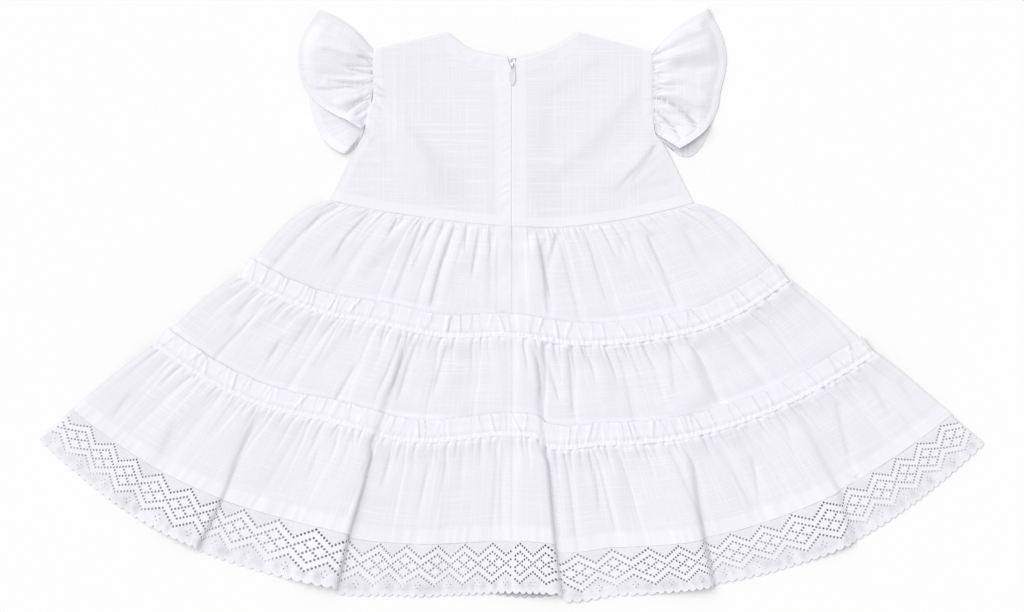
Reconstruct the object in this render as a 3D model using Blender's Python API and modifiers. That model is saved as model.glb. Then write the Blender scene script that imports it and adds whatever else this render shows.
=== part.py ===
"""Toddler's tiered cotton dress, laid flat on its front with the back and its zip on top.

The neck points to +Y, the wearer's left is at -X and the sheet that it lies on is z = 0. The front layers lie
on the sheet and the back layers lie on them. Lengths are millimetres up to mm(), which turns them into metres.
"""
import math

import bmesh
import bpy
from mathutils import Vector

# Driving dimensions, in millimetres
CLOTH = 1.0            # wall of every cloth panel
GAP = 0.3              # clearance at a seam, and between layers that lie on each other
LAYER = CLOTH + GAP    # rise from one layer to the next
HEADING = 18.0         # ruffle that stands above each gather line
LAP_RAMP = 9.5         # run over which a layer climbs onto the lap at a gather line
FRONT_LAP = (HEADING + 1, 0.0)     # reach of the front's laps above and below the gather lines
BACK_LAP = (28.5, 9.5)             # reach of the back's rise over them
HEM_GAP = 0.3                      # tier 3 and the lace each keep this far from the hem seam's line
LAPPED_EASE = 0.5      # share of a fold's height that is lost where tiers lap
FILLER_STEP = 27.0     # widest spacing of a panel's columns
CLOSEST_COLUMNS = 4.0  # and the least between those of two folds

ZIP_TAPE = {"width": 30.0, "top": 203.6, "foot": 58.0}
ZIP_RAMP = 15.0        # run over which the back comes down beside the tape
SLIDER = {"x": 0.9, "width": 5.0, "top": 213.4, "thick": 1.0, "taper": 0.35, "arch_width": 1.2, "arm": 0.8,
          "post": 1.5, "clear": 0.95}
PULL = {"hinge_y": 207.0, "hinge_z": 4.35, "length": 18.3, "width": 5.2, "thick": 0.9, "eye_width": 3.6,
        "bar": 1.0, "hole_width": 1.9, "hole_length": 3.4, "belly": 0.42, "tip": 0.35, "corner": 0.45}

# Levels of the skirt from the waist down. A level runs from x = left to x = right, and y holds its height on
# the sheet at nine equal steps from the left end to the right one.
SKIRT_LEVELS = (
    {"name": "waist", "left": -158, "right": 158, "y": (90, 81.5, 75.5, 70.5, 67.5, 66.5, 70.5, 77.5, 87.5)},
    {"name": "gather_1", "left": -237.5, "right": 239.5,
     "y": (25.5, -3.5, -15.5, -27.5, -27, -34.5, -30, -15.5, 21)},
    {"name": "gather_2", "left": -310, "right": 315,
     "y": (-34.5, -82, -102, -118.5, -113, -121.5, -114, -87.5, -42.5)},
    {"name": "hem", "left": -382.5, "right": 383,
     "y": (-91.5, -155.5, -189, -208.5, -206.5, -212, -199, -161, -96.5)},
    {"name": "edge", "left": -411.5, "right": 411.5,
     "y": (-117, -196.5, -235.5, -253, -250.5, -252.5, -238, -200, -120.5)},
)
SIDE_BULGE = (8.5, 3.0, 1.5, 0.0)    # how far each tier's sides swell past the straight line
HEADING_FLARE = 3.3                  # how far the ends of a heading stand out past the sides
FLARE_POWER = 12                     # keeps that flare to the very ends

# The front hem hangs hidden behind the back one, but for the places where it comes lower.
FRONT_HIDE = 1.5
FRONT_PEEKS = ({"x": -166, "reach": 34, "drop": 5.5}, {"x": 12, "reach": 75, "drop": 8.5})

# Large folds of the back layers. A fold crosses the levels in "at", with its crest at x and its height in
# "rise". "run" is its reach to the left and the right of the crest, "lean" moves the crest sideways over it,
# and the cloth to the right of the crest hangs lower by "step".
FOLDS = (
    {"at": (0, 0.3, 0.55, 0.67), "x": (-132, -141, -163, -170), "rise": (0, 2.5, 2.5, 0), "run": (12, 12)},
    {"at": (0, 0.3, 0.55, 0.67), "x": (-100, -110, -131, -136), "rise": (0, 3, 2.5, 0), "run": (13, 12)},
    {"at": (0, 0.3, 0.55, 0.67), "x": (-68, -76, -93, -96), "rise": (0, 3, 2.5, 0), "run": (13, 12)},
    {"at": (0, 0.3, 0.55, 0.67), "x": (-42, -47, -58, -61), "rise": (0, 2, 2, 0), "run": (9, 12)},
    {"at": (0.05, 0.2, 0.55, 0.67), "x": (27, 19, 26, 29), "rise": (0, 4, 3, 0), "run": (15, 8), "lean": 2},
    {"at": (0, 0.3, 0.55, 0.67), "x": (66, 73, 83, 85), "rise": (0, 3, 2.5, 0), "run": (13, 13)},
    {"at": (0, 0.4, 0.55, 0.67), "x": (102, 116, 132, 136), "rise": (0, 3, 2.5, 0), "run": (13, 13)},
    {"at": (1, 1.25, 1.5, 1.65), "x": (-205, -219, -247, -253), "rise": (0, 2.5, 2.5, 0), "run": (12, 12)},
    {"at": (1, 1.25, 1.5, 1.65), "x": (-178, -190, -214, -219), "rise": (0, 3, 3, 0), "run": (13, 11)},
    {"at": (1, 1.25, 1.5, 1.65), "x": (-147, -158, -176, -180), "rise": (0, 3, 3, 0), "run": (12, 13)},
    {"at": (1, 1.25, 1.5, 1.65), "x": (-50, -52, -56, -57), "rise": (0, 2, 2.5, 0), "run": (14, 14)},
    {"at": (1, 1.25, 2, 3, 4), "x": (-97, -102, -123, -149, -159), "rise": (0, 5, 6, 8, 7), "run": (30, 9),
     "lean": 5, "step": (0, 0, 2, 2, 4)},
    {"at": (1, 1.2, 2, 3, 4), "x": (14, 15, 22, 31, 37), "rise": (0, 5, 6, 7.5, 7), "run": (13, 9), "lean": 4.5,
     "step": (0, 3, 8, 7, 6)},
    {"at": (1, 1.25, 1.5, 1.65), "x": (72, 76, 82, 84), "rise": (0, 2.5, 2.5, 0), "run": (15, 15)},
    {"at": (1, 1.25, 1.5, 1.65), "x": (130, 135, 143, 146), "rise": (0, 3, 2.5, 0), "run": (13, 9)},
    {"at": (1, 1.25, 1.5, 1.65), "x": (154, 160, 175, 179), "rise": (0, 3, 3, 0), "run": (10, 13)},
    {"at": (1, 1.25, 1.5, 1.65), "x": (190, 200, 226, 232), "rise": (0, 3, 3, 0), "run": (13, 13)},
    {"at": (2, 2.25, 3, 4), "x": (-268, -281, -322, -344), "rise": (0, 3, 3, 2), "run": (14, 14)},
    {"at": (2, 2.2, 3, 4), "x": (-211, -216, -244, -262), "rise": (0, 4, 6, 6), "run": (9, 24), "lean": -4},
    {"at": (2, 2.25, 3, 4), "x": (-66, -67, -71, -74), "rise": (0, 2.5, 3, 2), "run": (16, 16)},
    {"at": (2, 2.25, 3, 4), "x": (84, 87, 104, 112), "rise": (0, 3, 3, 2), "run": (15, 15)},
    {"at": (2, 2.2, 3, 4), "x": (151, 155, 168, 177), "rise": (0, 3, 6, 6), "run": (26, 9), "lean": 4,
     "step": (0, 0, -1, -1)},
    {"at": (2, 2.25, 3, 4), "x": (237, 247, 280, 295), "rise": (0, 4, 3, 2), "run": (14, 14)},
)
STEP_RUN = (-3.0, 13.0)    # from and to where, right of the crest, the step comes in
STEP_REACH = 60.0          # how far to the right of the crest it dies out

WAIST_ROW = 12.0           # a row this far below the waist seam keeps the cloth level beside the zip's tape
STITCH_ROW = 1.5           # a back panel stays up on the tier above for this far below its gather line

# Rows of each skirt panel, top to bottom: the level that a row is measured from, its distance below that
# level, and the number of layers that it lies over besides the ones that carry its tier.
FRONT_ROWS = (
    ({"level": 0, "below": GAP / 2, "over": 0}, {"level": 1, "below": -FRONT_LAP[0] - LAP_RAMP, "over": 0},
     {"level": 1, "below": -FRONT_LAP[0], "over": 0}, {"level": 1, "below": 0, "over": 0}),
    ({"level": 1, "below": -HEADING, "over": 1}, {"level": 1.4, "below": 0, "over": 0},
     {"level": 2, "below": -FRONT_LAP[0] - LAP_RAMP, "over": 0}, {"level": 2, "below": -FRONT_LAP[0], "over": 0},
     {"level": 2, "below": 0, "over": 0}),
    ({"level": 2, "below": -HEADING, "over": 1}, {"level": 2.5, "below": 0, "over": 0},
     {"level": 3, "below": -HEM_GAP, "over": 0}),
    ({"level": 3, "below": HEM_GAP, "over": 0}, {"level": 4, "below": 0, "over": 0}),
)
BACK_ROWS = (
    ({"level": 0, "below": GAP / 2, "over": 0}, {"level": 0, "below": WAIST_ROW, "over": 0},
     {"level": 0.35, "below": 0, "over": 0}, {"level": 1, "below": -BACK_LAP[0] - LAP_RAMP, "over": 0},
     {"level": 1, "below": -BACK_LAP[0], "over": 0}, {"level": 1, "below": 0, "over": 0}),
    ({"level": 1, "below": -HEADING, "over": 1}, {"level": 1, "below": STITCH_ROW, "over": 1},
     {"level": 1, "below": BACK_LAP[1], "over": 0}, {"level": 1, "below": BACK_LAP[1] + LAP_RAMP, "over": 0},
     {"level": 2, "below": -BACK_LAP[0] - LAP_RAMP, "over": 0}, {"level": 2, "below": -BACK_LAP[0], "over": 0},
     {"level": 2, "below": 0, "over": 0}),
    ({"level": 2, "below": -HEADING, "over": 1}, {"level": 2, "below": STITCH_ROW, "over": 1},
     {"level": 2, "below": BACK_LAP[1], "over": 0}, {"level": 2, "below": BACK_LAP[1] + LAP_RAMP, "over": 0},
     {"level": 2.6, "below": 0, "over": 0}, {"level": 3, "below": -HEM_GAP, "over": 0}),
    ({"level": 3, "below": HEM_GAP, "over": 0}, {"level": 4, "below": 0, "over": 0}),
)
LEVEL_LAST = len(SKIRT_LEVELS) - 1
COLUMN_SPANS = ((0, 1), (1, 2), (2, 4), (2, 4))    # levels whose folds set each tier's columns
FRONT_COLUMNS = 25                 # columns of every front panel of the skirt

# The bodice. "outer" climbs the side seam to the underarm and the armhole to the shoulder. Each row of
# "columns" joins a place on the waist seam to a point of the shoulder or the neckline.
BODICE_LEFT = {
    "outer": ((-158, 90.15), (-148.5, 109.5), (-139, 129), (-129, 146.5), (-125, 166.5), (-120.7, 179),
              (-120.5, 200), (-120.5, 221)),
    "columns": ({"waist": -158, "top": (-120.5, 221)}, {"waist": -129, "top": (-99, 226)},
                {"waist": -101, "top": (-78, 231)}, {"waist": -74, "top": (-56.5, 236)},
                {"waist": -58, "top": (-49, 230.3)}, {"waist": -45, "top": (-42, 224.8)},
                {"waist": -31, "top": (-31, 219.2)}, {"waist": -16, "top": (-16, 215.8)},
                {"waist": -0.15, "top": (-4.3, 214.2)}),
}
BODICE_RIGHT = {
    "outer": ((158, 87.65), (151, 101), (144, 115), (132, 139), (125, 148), (122.6, 172), (122.3, 195),
              (122.2, 218.5)),
    "columns": ({"waist": 0.15, "top": (5.2, 213.4)}, {"waist": 16, "top": (16, 215)},
                {"waist": 31, "top": (31, 220.6)}, {"waist": 45, "top": (44, 227.2)},
                {"waist": 58, "top": (51, 231.6)}, {"waist": 74, "top": (58, 236)},
                {"waist": 101, "top": (79, 230.3)}, {"waist": 129, "top": (100.5, 224.6)},
                {"waist": 158, "top": (122.2, 218.5)}),
}
FRONT_NECKLINE = ({"waist": -62, "top": (-53, 213)}, {"waist": -48, "top": (-45, 200)},
                  {"waist": -32, "top": (-31, 190)}, {"waist": -16, "top": (-16, 184)},
                  {"waist": 0, "top": (0, 182)}, {"waist": 16, "top": (16, 184)},
                  {"waist": 32, "top": (31, 190)}, {"waist": 48, "top": (45.5, 200)},
                  {"waist": 62, "top": (54, 213)})
SHOULDER_COLUMNS = 4               # columns from the armhole to the neck
SHOULDER_HALF = 121.0              # from the centre to an armhole
FRONT_INSET = 0.6                  # the front bodice stays this far inside the back one at its sides
ZIP_NOTCH = {"y": 203.6, "half": 0.15}    # where the two back edges meet, under the slider's arch
NOTCH_SHARE = 6 / 7                # share of the way up the centre back where the notch starts
UNDERARM_FOLD = {"from": (126, 138), "to": (84, 99), "rise": 3.0, "run": 15.0}

# Flutter sleeves. Each is one panel folded along the top. A row is one ray of the panel from the armhole seam
# to the hem: the front half from its lower end up to the fold, then the back half down to its lower end.
SLEEVE_LEFT = (
    {"seam": (-130.3, 147), "hem": (-133, 145)},
    {"seam": (-128.5, 152), "hem": (-147.5, 130.5)},
    {"seam": (-127, 160), "hem": (-164, 143.5)},
    {"seam": (-125, 170), "hem": (-173.5, 164)},
    {"seam": (-121.5, 184), "hem": (-177.5, 186.5)},
    {"seam": (-121, 200), "hem": (-185, 205)},
    {"seam": (-121, 212), "hem": (-182.5, 230)},
    {"seam": (-121, 219.5), "hem": (-166.5, 255)},
    {"seam": (-121, 212), "hem": (-182.5, 230)},
    {"seam": (-121, 203), "hem": (-185, 209)},
    {"seam": (-121, 193), "hem": (-180, 189)},
    {"seam": (-121.2, 186), "hem": (-168, 173)},
    {"seam": (-122.2, 180), "hem": (-150, 162)},
    {"seam": (-123.5, 175), "hem": (-139, 166)},
    {"seam": (-124.8, 171.5), "hem": (-128, 169.5)},
)
SLEEVE_RIGHT = (
    {"seam": (133, 140), "hem": (136, 138)},
    {"seam": (130.5, 142.5), "hem": (147, 127.5)},
    {"seam": (127, 147.5), "hem": (160, 134)},
    {"seam": (124.5, 156), "hem": (173.5, 150)},
    {"seam": (122.8, 170), "hem": (179, 174)},
    {"seam": (122.6, 188), "hem": (184, 200)},
    {"seam": (122.6, 204), "hem": (181, 234)},
    {"seam": (122.6, 217.5), "hem": (169, 256.5)},
    {"seam": (122.6, 209), "hem": (181, 236)},
    {"seam": (122.6, 200), "hem": (186.5, 217)},
    {"seam": (122.6, 190), "hem": (184, 198)},
    {"seam": (122.7, 180), "hem": (179.5, 178)},
    {"seam": (122.9, 170), "hem": (171, 158)},
    {"seam": (123.6, 160), "hem": (158, 139.5)},
    {"seam": (125.5, 150.5), "hem": (140.5, 141)},
)
SLEEVE_FOLD_ROW = 7       # the row on the top fold
SLEEVE_STEPS = 4          # quads from the seam to the hem
SLEEVE_FOLD_STEP = 30     # degrees between the rows that round the fold
SLEEVE_FOLD_RADIUS = 1.9  # of the soft fold at the top
SLEEVE_OPENING = 0.4      # share of the way out at which the fold has reached that radius
SLEEVE_FOLD_SWELL = 4.5   # how far the fold line bows outwards
SLEEVE_FLUTE = 2.2        # height of the flutes on the back half
SLEEVE_FLUTE_ROWS = 3.0   # rows from one flute to the next

# Colours, as Principled base colour, roughness and metallic
COTTON = ((0.87, 0.87, 0.90), 0.9, 0.0)
LACE = ((0.85, 0.85, 0.88), 0.95, 0.0)
ZIP_WHITE = ((0.88, 0.88, 0.92), 0.7, 0.0)
NICKEL = ((0.62, 0.62, 0.64), 0.28, 1.0)
ENAMEL = ((0.88, 0.88, 0.92), 0.35, 0.0)


def mm(*values):
    """A point given in millimetres, as a vector in metres."""
    return Vector(values) * 0.001


# ---- small helpers for curves ----

def smooth(value, low, high):
    """0 below low, 1 above high, and an S-curve between."""
    share = min(max((value - low) / (high - low), 0.0), 1.0)
    return share * share * (3.0 - 2.0 * share)


def spline(values, share):
    """A smooth curve through equally spaced numbers or vectors, read at share 0 to 1."""
    last = len(values) - 1
    place = min(max(share, 0.0), 1.0) * last
    k = min(int(place), last - 1)
    f = place - k
    p1, p2 = values[k], values[k + 1]
    p0 = values[k - 1] if k > 0 else p1 * 3 - p2 * 3 + values[k + 2]
    p3 = values[k + 2] if k + 2 <= last else p2 * 3 - p1 * 3 + values[k - 1]
    return p1 + (p2 - p0) * (0.5 * f) + (p0 * 2 - p1 * 5 + p2 * 4 - p3) * (0.5 * f * f) \
        + (p1 * 3 - p0 - p2 * 3 + p3) * (0.5 * f ** 3)


def along(stops, values, at):
    """Straight-line reading of values, which stand at the given stops."""
    if at <= stops[0]:
        return values[0]
    for k in range(1, len(stops)):
        if at <= stops[k]:
            share = (at - stops[k - 1]) / (stops[k] - stops[k - 1])
            return values[k - 1] + (values[k] - values[k - 1]) * share
    return values[-1]


# ---- the skirt, as one chart of (x at its level, level) ----

def half_width(level, side):
    """Reach of a level from the centre back, to the left (side -1) or the right (side 1)."""
    k = min(int(level), LEVEL_LAST - 1)
    key = "left" if side < 0 else "right"
    a, b = abs(SKIRT_LEVELS[k][key]), abs(SKIRT_LEVELS[k + 1][key])
    return a + (b - a) * (level - k)


def level_point(index, u):
    """Flat place of a level at u, from -1 at its left end to 1 at its right one."""
    row = SKIRT_LEVELS[index]
    x = u * (abs(row["left"]) if u < 0 else row["right"])
    return Vector((x, spline(row["y"], (u + 1) / 2)))


def skirt_flat(u, level, front=False):
    """Flat place of the skirt at u on any level."""
    k = min(int(level), LEVEL_LAST - 1)
    share = level - k
    top, foot = level_point(k, u), level_point(k + 1, u)
    place = top.lerp(foot, share)
    swell = SIDE_BULGE[k] * 6.75 * share * (1 - share) ** 2 * abs(u) ** 5
    place += Vector((math.copysign(0.7, u), 0.7)) * swell
    if front:
        place.y += FRONT_HIDE * smooth(level, LEVEL_LAST - 1.5, LEVEL_LAST)
        for peek in FRONT_PEEKS:
            off = min(abs(place.x - peek["x"]) / peek["reach"], 1)
            place.y -= peek["drop"] * (0.5 + 0.5 * math.cos(math.pi * off)) * smooth(level, 2, LEVEL_LAST)
    else:
        for fold in FOLDS:
            if "step" in fold and fold["at"][0] < level:
                off = place.x - fold_place(fold, level)[0]
                place.y -= along(fold["at"], fold["step"], level) * smooth(off, *STEP_RUN) \
                    * (1 - smooth(off, STEP_RUN[1], STEP_REACH))
    return place


def level_of(row, u):
    """Level of a panel row at u."""
    if row["below"] == 0:
        return row["level"]
    k = row["level"] if row["below"] > 0 else row["level"] - 1
    k = min(max(int(k), 0), LEVEL_LAST - 1)
    length = (level_point(k + 1, u) - level_point(k, u)).length
    return row["level"] + row["below"] / length


def lap(u, level, above, below):
    """1 where a heading laps over the tier above it, falling to 0 past the given reaches."""
    nearest = round(level)
    if nearest not in (1, 2):
        return 0.0
    k = nearest - 1 if level < nearest else nearest
    off = (level - nearest) * (level_point(k + 1, u) - level_point(k, u)).length
    reach = above if off < 0 else below
    return 1 - smooth(abs(off), reach, reach + LAP_RAMP)


def tape_rise(x, y):
    """Rise of the back where the zip's tape lies beneath it."""
    edge = ZIP_TAPE["width"] / 2
    foot = ZIP_TAPE["foot"] - 4
    return LAYER * (1 - smooth(abs(x), edge + 1, edge + 1 + ZIP_RAMP)) * smooth(y, foot - ZIP_RAMP, foot)


def fold_place(fold, level):
    """Crest x and height of a fold on a level."""
    return along(fold["at"], fold["x"], level), along(fold["at"], fold["rise"], level)


def fold_lift(x, level, lapped):
    """Sideways move and height that the folds give the back at x on a level.

    Where tiers lap, the folds are lower and don't lean, so the upper layers can follow them.
    """
    shift, height = 0.0, 0.0
    for fold in FOLDS:
        if not fold["at"][0] < level <= fold["at"][-1]:
            continue
        crest, rise = fold_place(fold, level)
        run = fold["run"][0] if x < crest else fold["run"][1]
        if abs(x - crest) < run:
            bell = 0.5 + 0.5 * math.cos(math.pi * (x - crest) / run)
            height += rise * bell
            shift += fold.get("lean", 0) * bell * rise / max(fold["rise"])
    return shift * (1 - lapped), height * (1 - LAPPED_EASE * lapped)


def back_base(u, level):
    """Top of what carries the back layers, with the folds in it."""
    place = skirt_flat(u, level)
    lapped = lap(u, level, *BACK_LAP)
    shift, height = fold_lift(place.x, level, lapped)
    carried = CLOTH + LAYER * lapped + tape_rise(place.x, place.y)
    return Vector((place.x + shift, place.y, carried + height))


def flare(u, over):
    """Sideways move of a heading's ends."""
    return Vector((math.copysign(0.8, u), 0.6)) * HEADING_FLARE * over * abs(u) ** FLARE_POWER


def back_point(u, level, over):
    """Middle of the cloth of a back panel, square off its carrier."""
    step = 0.004
    base = back_base(u, level)
    across = back_base(u + step, level) - back_base(u - step, level)
    down = back_base(u, min(level + step, LEVEL_LAST)) - back_base(u, max(level - step, 0))
    normal = down.cross(across).normalized()
    return base + normal * (GAP + CLOTH / 2 + LAYER * over)


# ---- panels ----

def collection(name):
    """A collection in the scene, made once."""
    found = bpy.data.collections.get(name)
    if found is None:
        found = bpy.data.collections.new(name)
        bpy.context.scene.collection.children.link(found)
    return found


def material(name, look):
    """A Principled material of a colour, roughness and metallic value."""
    color, roughness, metallic = look
    made = bpy.data.materials.new(name)
    made.use_nodes = True
    shader = made.node_tree.nodes["Principled BSDF"]
    shader.inputs["Base Color"].default_value = (*color, 1)
    shader.inputs["Roughness"].default_value = roughness
    shader.inputs["Metallic"].default_value = metallic
    return made


def add_part(name, mesh, look):
    """An object of the dress with its own material."""
    part = bpy.data.objects.new(name, mesh)
    mesh.materials.append(material(name + "_material", look))
    collection("toddler_dress").objects.link(part)
    return part


def sheet(name, columns, rows, place, look, lies_flat=False):
    """A cloth panel: a grid laid out by place(column, row), then given its wall.

    A panel that lies flat is placed by its underside, any other by the middle of its cloth.
    """
    bm = bmesh.new()
    bmesh.ops.create_grid(bm, x_segments=columns - 1, y_segments=rows - 1, size=0.5)
    for vert in bm.verts:
        column = round((vert.co.x + 0.5) * (columns - 1))
        row = round((0.5 - vert.co.y) * (rows - 1))
        vert.co = mm(*place(column, row))
    mesh = bpy.data.meshes.new(name)
    bm.to_mesh(mesh)
    bm.free()
    mesh.shade_smooth()
    part = add_part(name, mesh, look)
    wall = part.modifiers.new("Wall", "SOLIDIFY")
    wall.thickness = CLOTH * 0.001
    wall.offset = 1 if lies_flat else 0
    return part


def fold_columns(side, low, high):
    """Columns of a skirt panel on one side between two levels, as functions of the level that give x.

    Each fold gets columns across its flanks, and the spaces between are filled evenly.
    """
    tape_edge = ZIP_TAPE["width"] / 2 + 1
    starts = (ZIP_NOTCH["half"], tape_edge, tape_edge + ZIP_RAMP)
    groups = [[lambda level, x=start: x * side] for start in starts]
    for fold in FOLDS:
        if fold["at"][-1] <= low or fold["at"][0] >= high or fold["x"][-1] * side < 0:
            continue
        left, right = fold["run"]
        if "lean" in fold:
            marks = (-left, -left * 0.5, -left * 0.2, 0, right * 0.25, right * 0.5, right * 0.75, right) \
                if fold["lean"] > 0 else (-left, -left * 0.75, -left * 0.5, -left * 0.25, 0, right * 0.2,
                                          right * 0.5, right)
        else:
            marks = (-left, -left * 0.5, 0, right * 0.5, right)
        groups.append([lambda level, f=fold, m=mark: fold_place(f, level)[0] + m for mark in marks])
    groups.append([lambda level: side * half_width(level, side)])
    middle = (low + high) / 2
    groups.sort(key=lambda group: group[0](middle))
    columns = list(groups[0])
    for group in groups[1:]:
        while group and group[0](middle) - columns[-1](middle) < CLOSEST_COLUMNS:
            group = group[1:]
        if not group:
            continue
        before, after = columns[-1], group[0]
        fillers = int((after(middle) - before(middle)) / FILLER_STEP)
        for k in range(1, fillers + 1):
            share = k / (fillers + 1)
            columns.append(lambda level, a=before, b=after, s=share: a(level) + (b(level) - a(level)) * s)
        columns += group
    return columns


def skirt_back(name, tier, side, look):
    """Back panel of one tier on one side of the centre-back seam."""
    rows = BACK_ROWS[tier]
    columns = fold_columns(side, *COLUMN_SPANS[tier])

    def place(column, row):
        middle = level_of(rows[row], 0.5 * side)
        u = columns[column](middle) / half_width(middle, side)
        u = min(max(u, -1.0), 1.0)
        point = back_point(u, level_of(rows[row], u), rows[row]["over"])
        ends = flare(u, rows[row]["over"] and rows[row]["below"] < 0)
        return point.x + ends.x, point.y + ends.y, point.z
    return sheet(name, len(columns), len(rows), place, look)


def skirt_front(name, tier, look):
    """Front panel of one tier. It lies on the sheet, and climbs only where the next tier laps under it."""
    rows = FRONT_ROWS[tier]

    def place(column, row):
        u = (2 * column / (FRONT_COLUMNS - 1) - 1) * (1 - FRONT_INSET / half_width(tier + 0.5, 1))
        level = level_of(rows[row], u)
        flat = skirt_flat(u, level, front=True) + flare(u, rows[row]["over"] and rows[row]["below"] < 0)
        climbs = 0 if rows[row]["over"] or level < tier + 0.5 else lap(u, level, *FRONT_LAP)
        return flat.x, flat.y, LAYER * climbs
    return sheet(name, FRONT_COLUMNS, len(rows), place, look, lies_flat=True)


def by_index(points, share):
    """Point of a line of 2D points, read in equal steps from point to point."""
    place = share * (len(points) - 1)
    k = min(int(place), len(points) - 2)
    return Vector(points[k]).lerp(Vector(points[k + 1]), place - k)


def waist_point(x):
    """Point of the bodice's lower edge, a hair above the skirt's top edge."""
    return level_point(0, x / SKIRT_LEVELS[0]["right"]) + Vector((0, GAP / 2))


def bodice_panel(columns, left, right, column, t):
    """Point of a bodice panel on a column at share t up, spanned between its four edges."""
    low, high = waist_point(columns[0]["waist"]), waist_point(columns[-1]["waist"])
    corner_low, corner_high = Vector(columns[0]["top"]), Vector(columns[-1]["top"])
    here = columns[column]
    s = (here["waist"] - columns[0]["waist"]) / (columns[-1]["waist"] - columns[0]["waist"])
    across = waist_point(here["waist"]).lerp(Vector(here["top"]), t)
    up = left(t).lerp(right(t), s)
    return across + up - low.lerp(high, s).lerp(corner_low.lerp(corner_high, s), t)


def underarm_crease(point):
    """Height of the soft fold that runs down from the right underarm."""
    start, end = Vector(UNDERARM_FOLD["from"]), Vector(UNDERARM_FOLD["to"])
    line = (end - start).normalized()
    reach = (point - start).dot(line) / (end - start).length
    off = abs((point - start).cross(line)) / UNDERARM_FOLD["run"]
    return UNDERARM_FOLD["rise"] * max(0.0, 1 - off) * math.sin(math.pi * min(max(reach, 0.0), 1.0))


def bodice_back(name, outline, side, look):
    """One half of the back bodice, from the centre back to the side."""
    columns, outer = outline["columns"], outline["outer"]
    edge_x = ZIP_NOTCH["half"] * side
    neck = columns[-1 if side < 0 else 0]["top"]
    inner = (waist_point(edge_x), Vector((edge_x, ZIP_NOTCH["y"])), Vector(neck))
    rows = len(outer)

    def outside(t):
        return by_index(outer, t)

    def inside(t):
        return along((0, NOTCH_SHARE, 1), inner, t)

    left, right = (outside, inside) if side < 0 else (inside, outside)

    def place(column, row):
        point = bodice_panel(columns, left, right, column, 1 - row / (rows - 1))
        height = CLOTH + GAP + CLOTH / 2 + tape_rise(point.x, point.y) + underarm_crease(point)
        return point.x, point.y, height
    return sheet(name, len(columns), rows, place, look)


def bodice_front(name, look):
    """The front bodice, in one piece with its lower neckline."""
    shoulder_left = BODICE_LEFT["columns"][:SHOULDER_COLUMNS]
    shoulder_right = BODICE_RIGHT["columns"][-SHOULDER_COLUMNS:]
    columns = shoulder_left + FRONT_NECKLINE + shoulder_right
    rows = len(BODICE_LEFT["outer"])

    def place(column, row):
        point = bodice_panel(columns, lambda t: by_index(BODICE_LEFT["outer"], t),
                             lambda t: by_index(BODICE_RIGHT["outer"], t), column, 1 - row / (rows - 1))
        point.x -= FRONT_INSET * point.x / SHOULDER_HALF
        return point.x, point.y, 0
    return sheet(name, len(columns), rows, place, look, lies_flat=True)


def sleeve(name, rays, side, look):
    """A flutter sleeve: one gathered panel, folded along its top, front half beneath and back half above."""
    rows = list(rays)
    fold = SLEEVE_FOLD_ROW
    order = [(k, None) for k in range(fold)]
    order += [(fold, angle) for angle in range(-90, 91, SLEEVE_FOLD_STEP)]
    order += [(k, None) for k in range(fold + 1, len(rows))]
    ahead = (Vector(rows[fold]["hem"]) - Vector(rows[fold]["seam"])).normalized()
    outward = Vector((-ahead.y, ahead.x)) * (1 if side > 0 else -1)

    def place(column, row):
        index, angle = order[row]
        reach = column / SLEEVE_STEPS
        ray = rows[index]
        flat = Vector(ray["seam"]).lerp(Vector(ray["hem"]), reach)
        flat.x += GAP * side * (1 - reach)
        flat += outward * SLEEVE_FOLD_SWELL * math.sin(math.pi * reach) * 0.5 ** abs(index - fold)
        low = CLOTH / 2
        radius = LAYER / 2 + (SLEEVE_FOLD_RADIUS - LAYER / 2) * smooth(reach, 0, SLEEVE_OPENING)
        if angle is not None:
            turn = math.radians(angle)
            flat += outward * radius * (math.cos(turn) - 1)
            return flat.x, flat.y, low + radius + radius * math.sin(turn)
        if index < fold:
            return flat.x, flat.y, low
        flute = math.sin(math.pi * (index - fold) / SLEEVE_FLUTE_ROWS) ** 2
        flute *= SLEEVE_FLUTE * smooth(reach, 0, SLEEVE_OPENING)
        settle = smooth(index - fold, 0, SLEEVE_FLUTE_ROWS)
        height = (low + 2 * radius) * (1 - settle) + (low + LAYER) * settle
        return flat.x, flat.y, height + flute
    return sheet(name, SLEEVE_STEPS + 1, len(order), place, look)


# ---- the zip ----

def zip_tape(name, look):
    """The tape and coil of the invisible zip, behind the centre back."""
    length = ZIP_TAPE["top"] - ZIP_TAPE["foot"]
    bm = bmesh.new()
    bmesh.ops.create_cube(bm, size=1)
    for vert in bm.verts:
        vert.co = mm(vert.co.x * ZIP_TAPE["width"], ZIP_TAPE["foot"] + (vert.co.y + 0.5) * length,
                     LAYER + (vert.co.z + 0.5) * CLOTH)
    mesh = bpy.data.meshes.new(name)
    bm.to_mesh(mesh)
    bm.free()
    return add_part(name, mesh, look)


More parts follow.
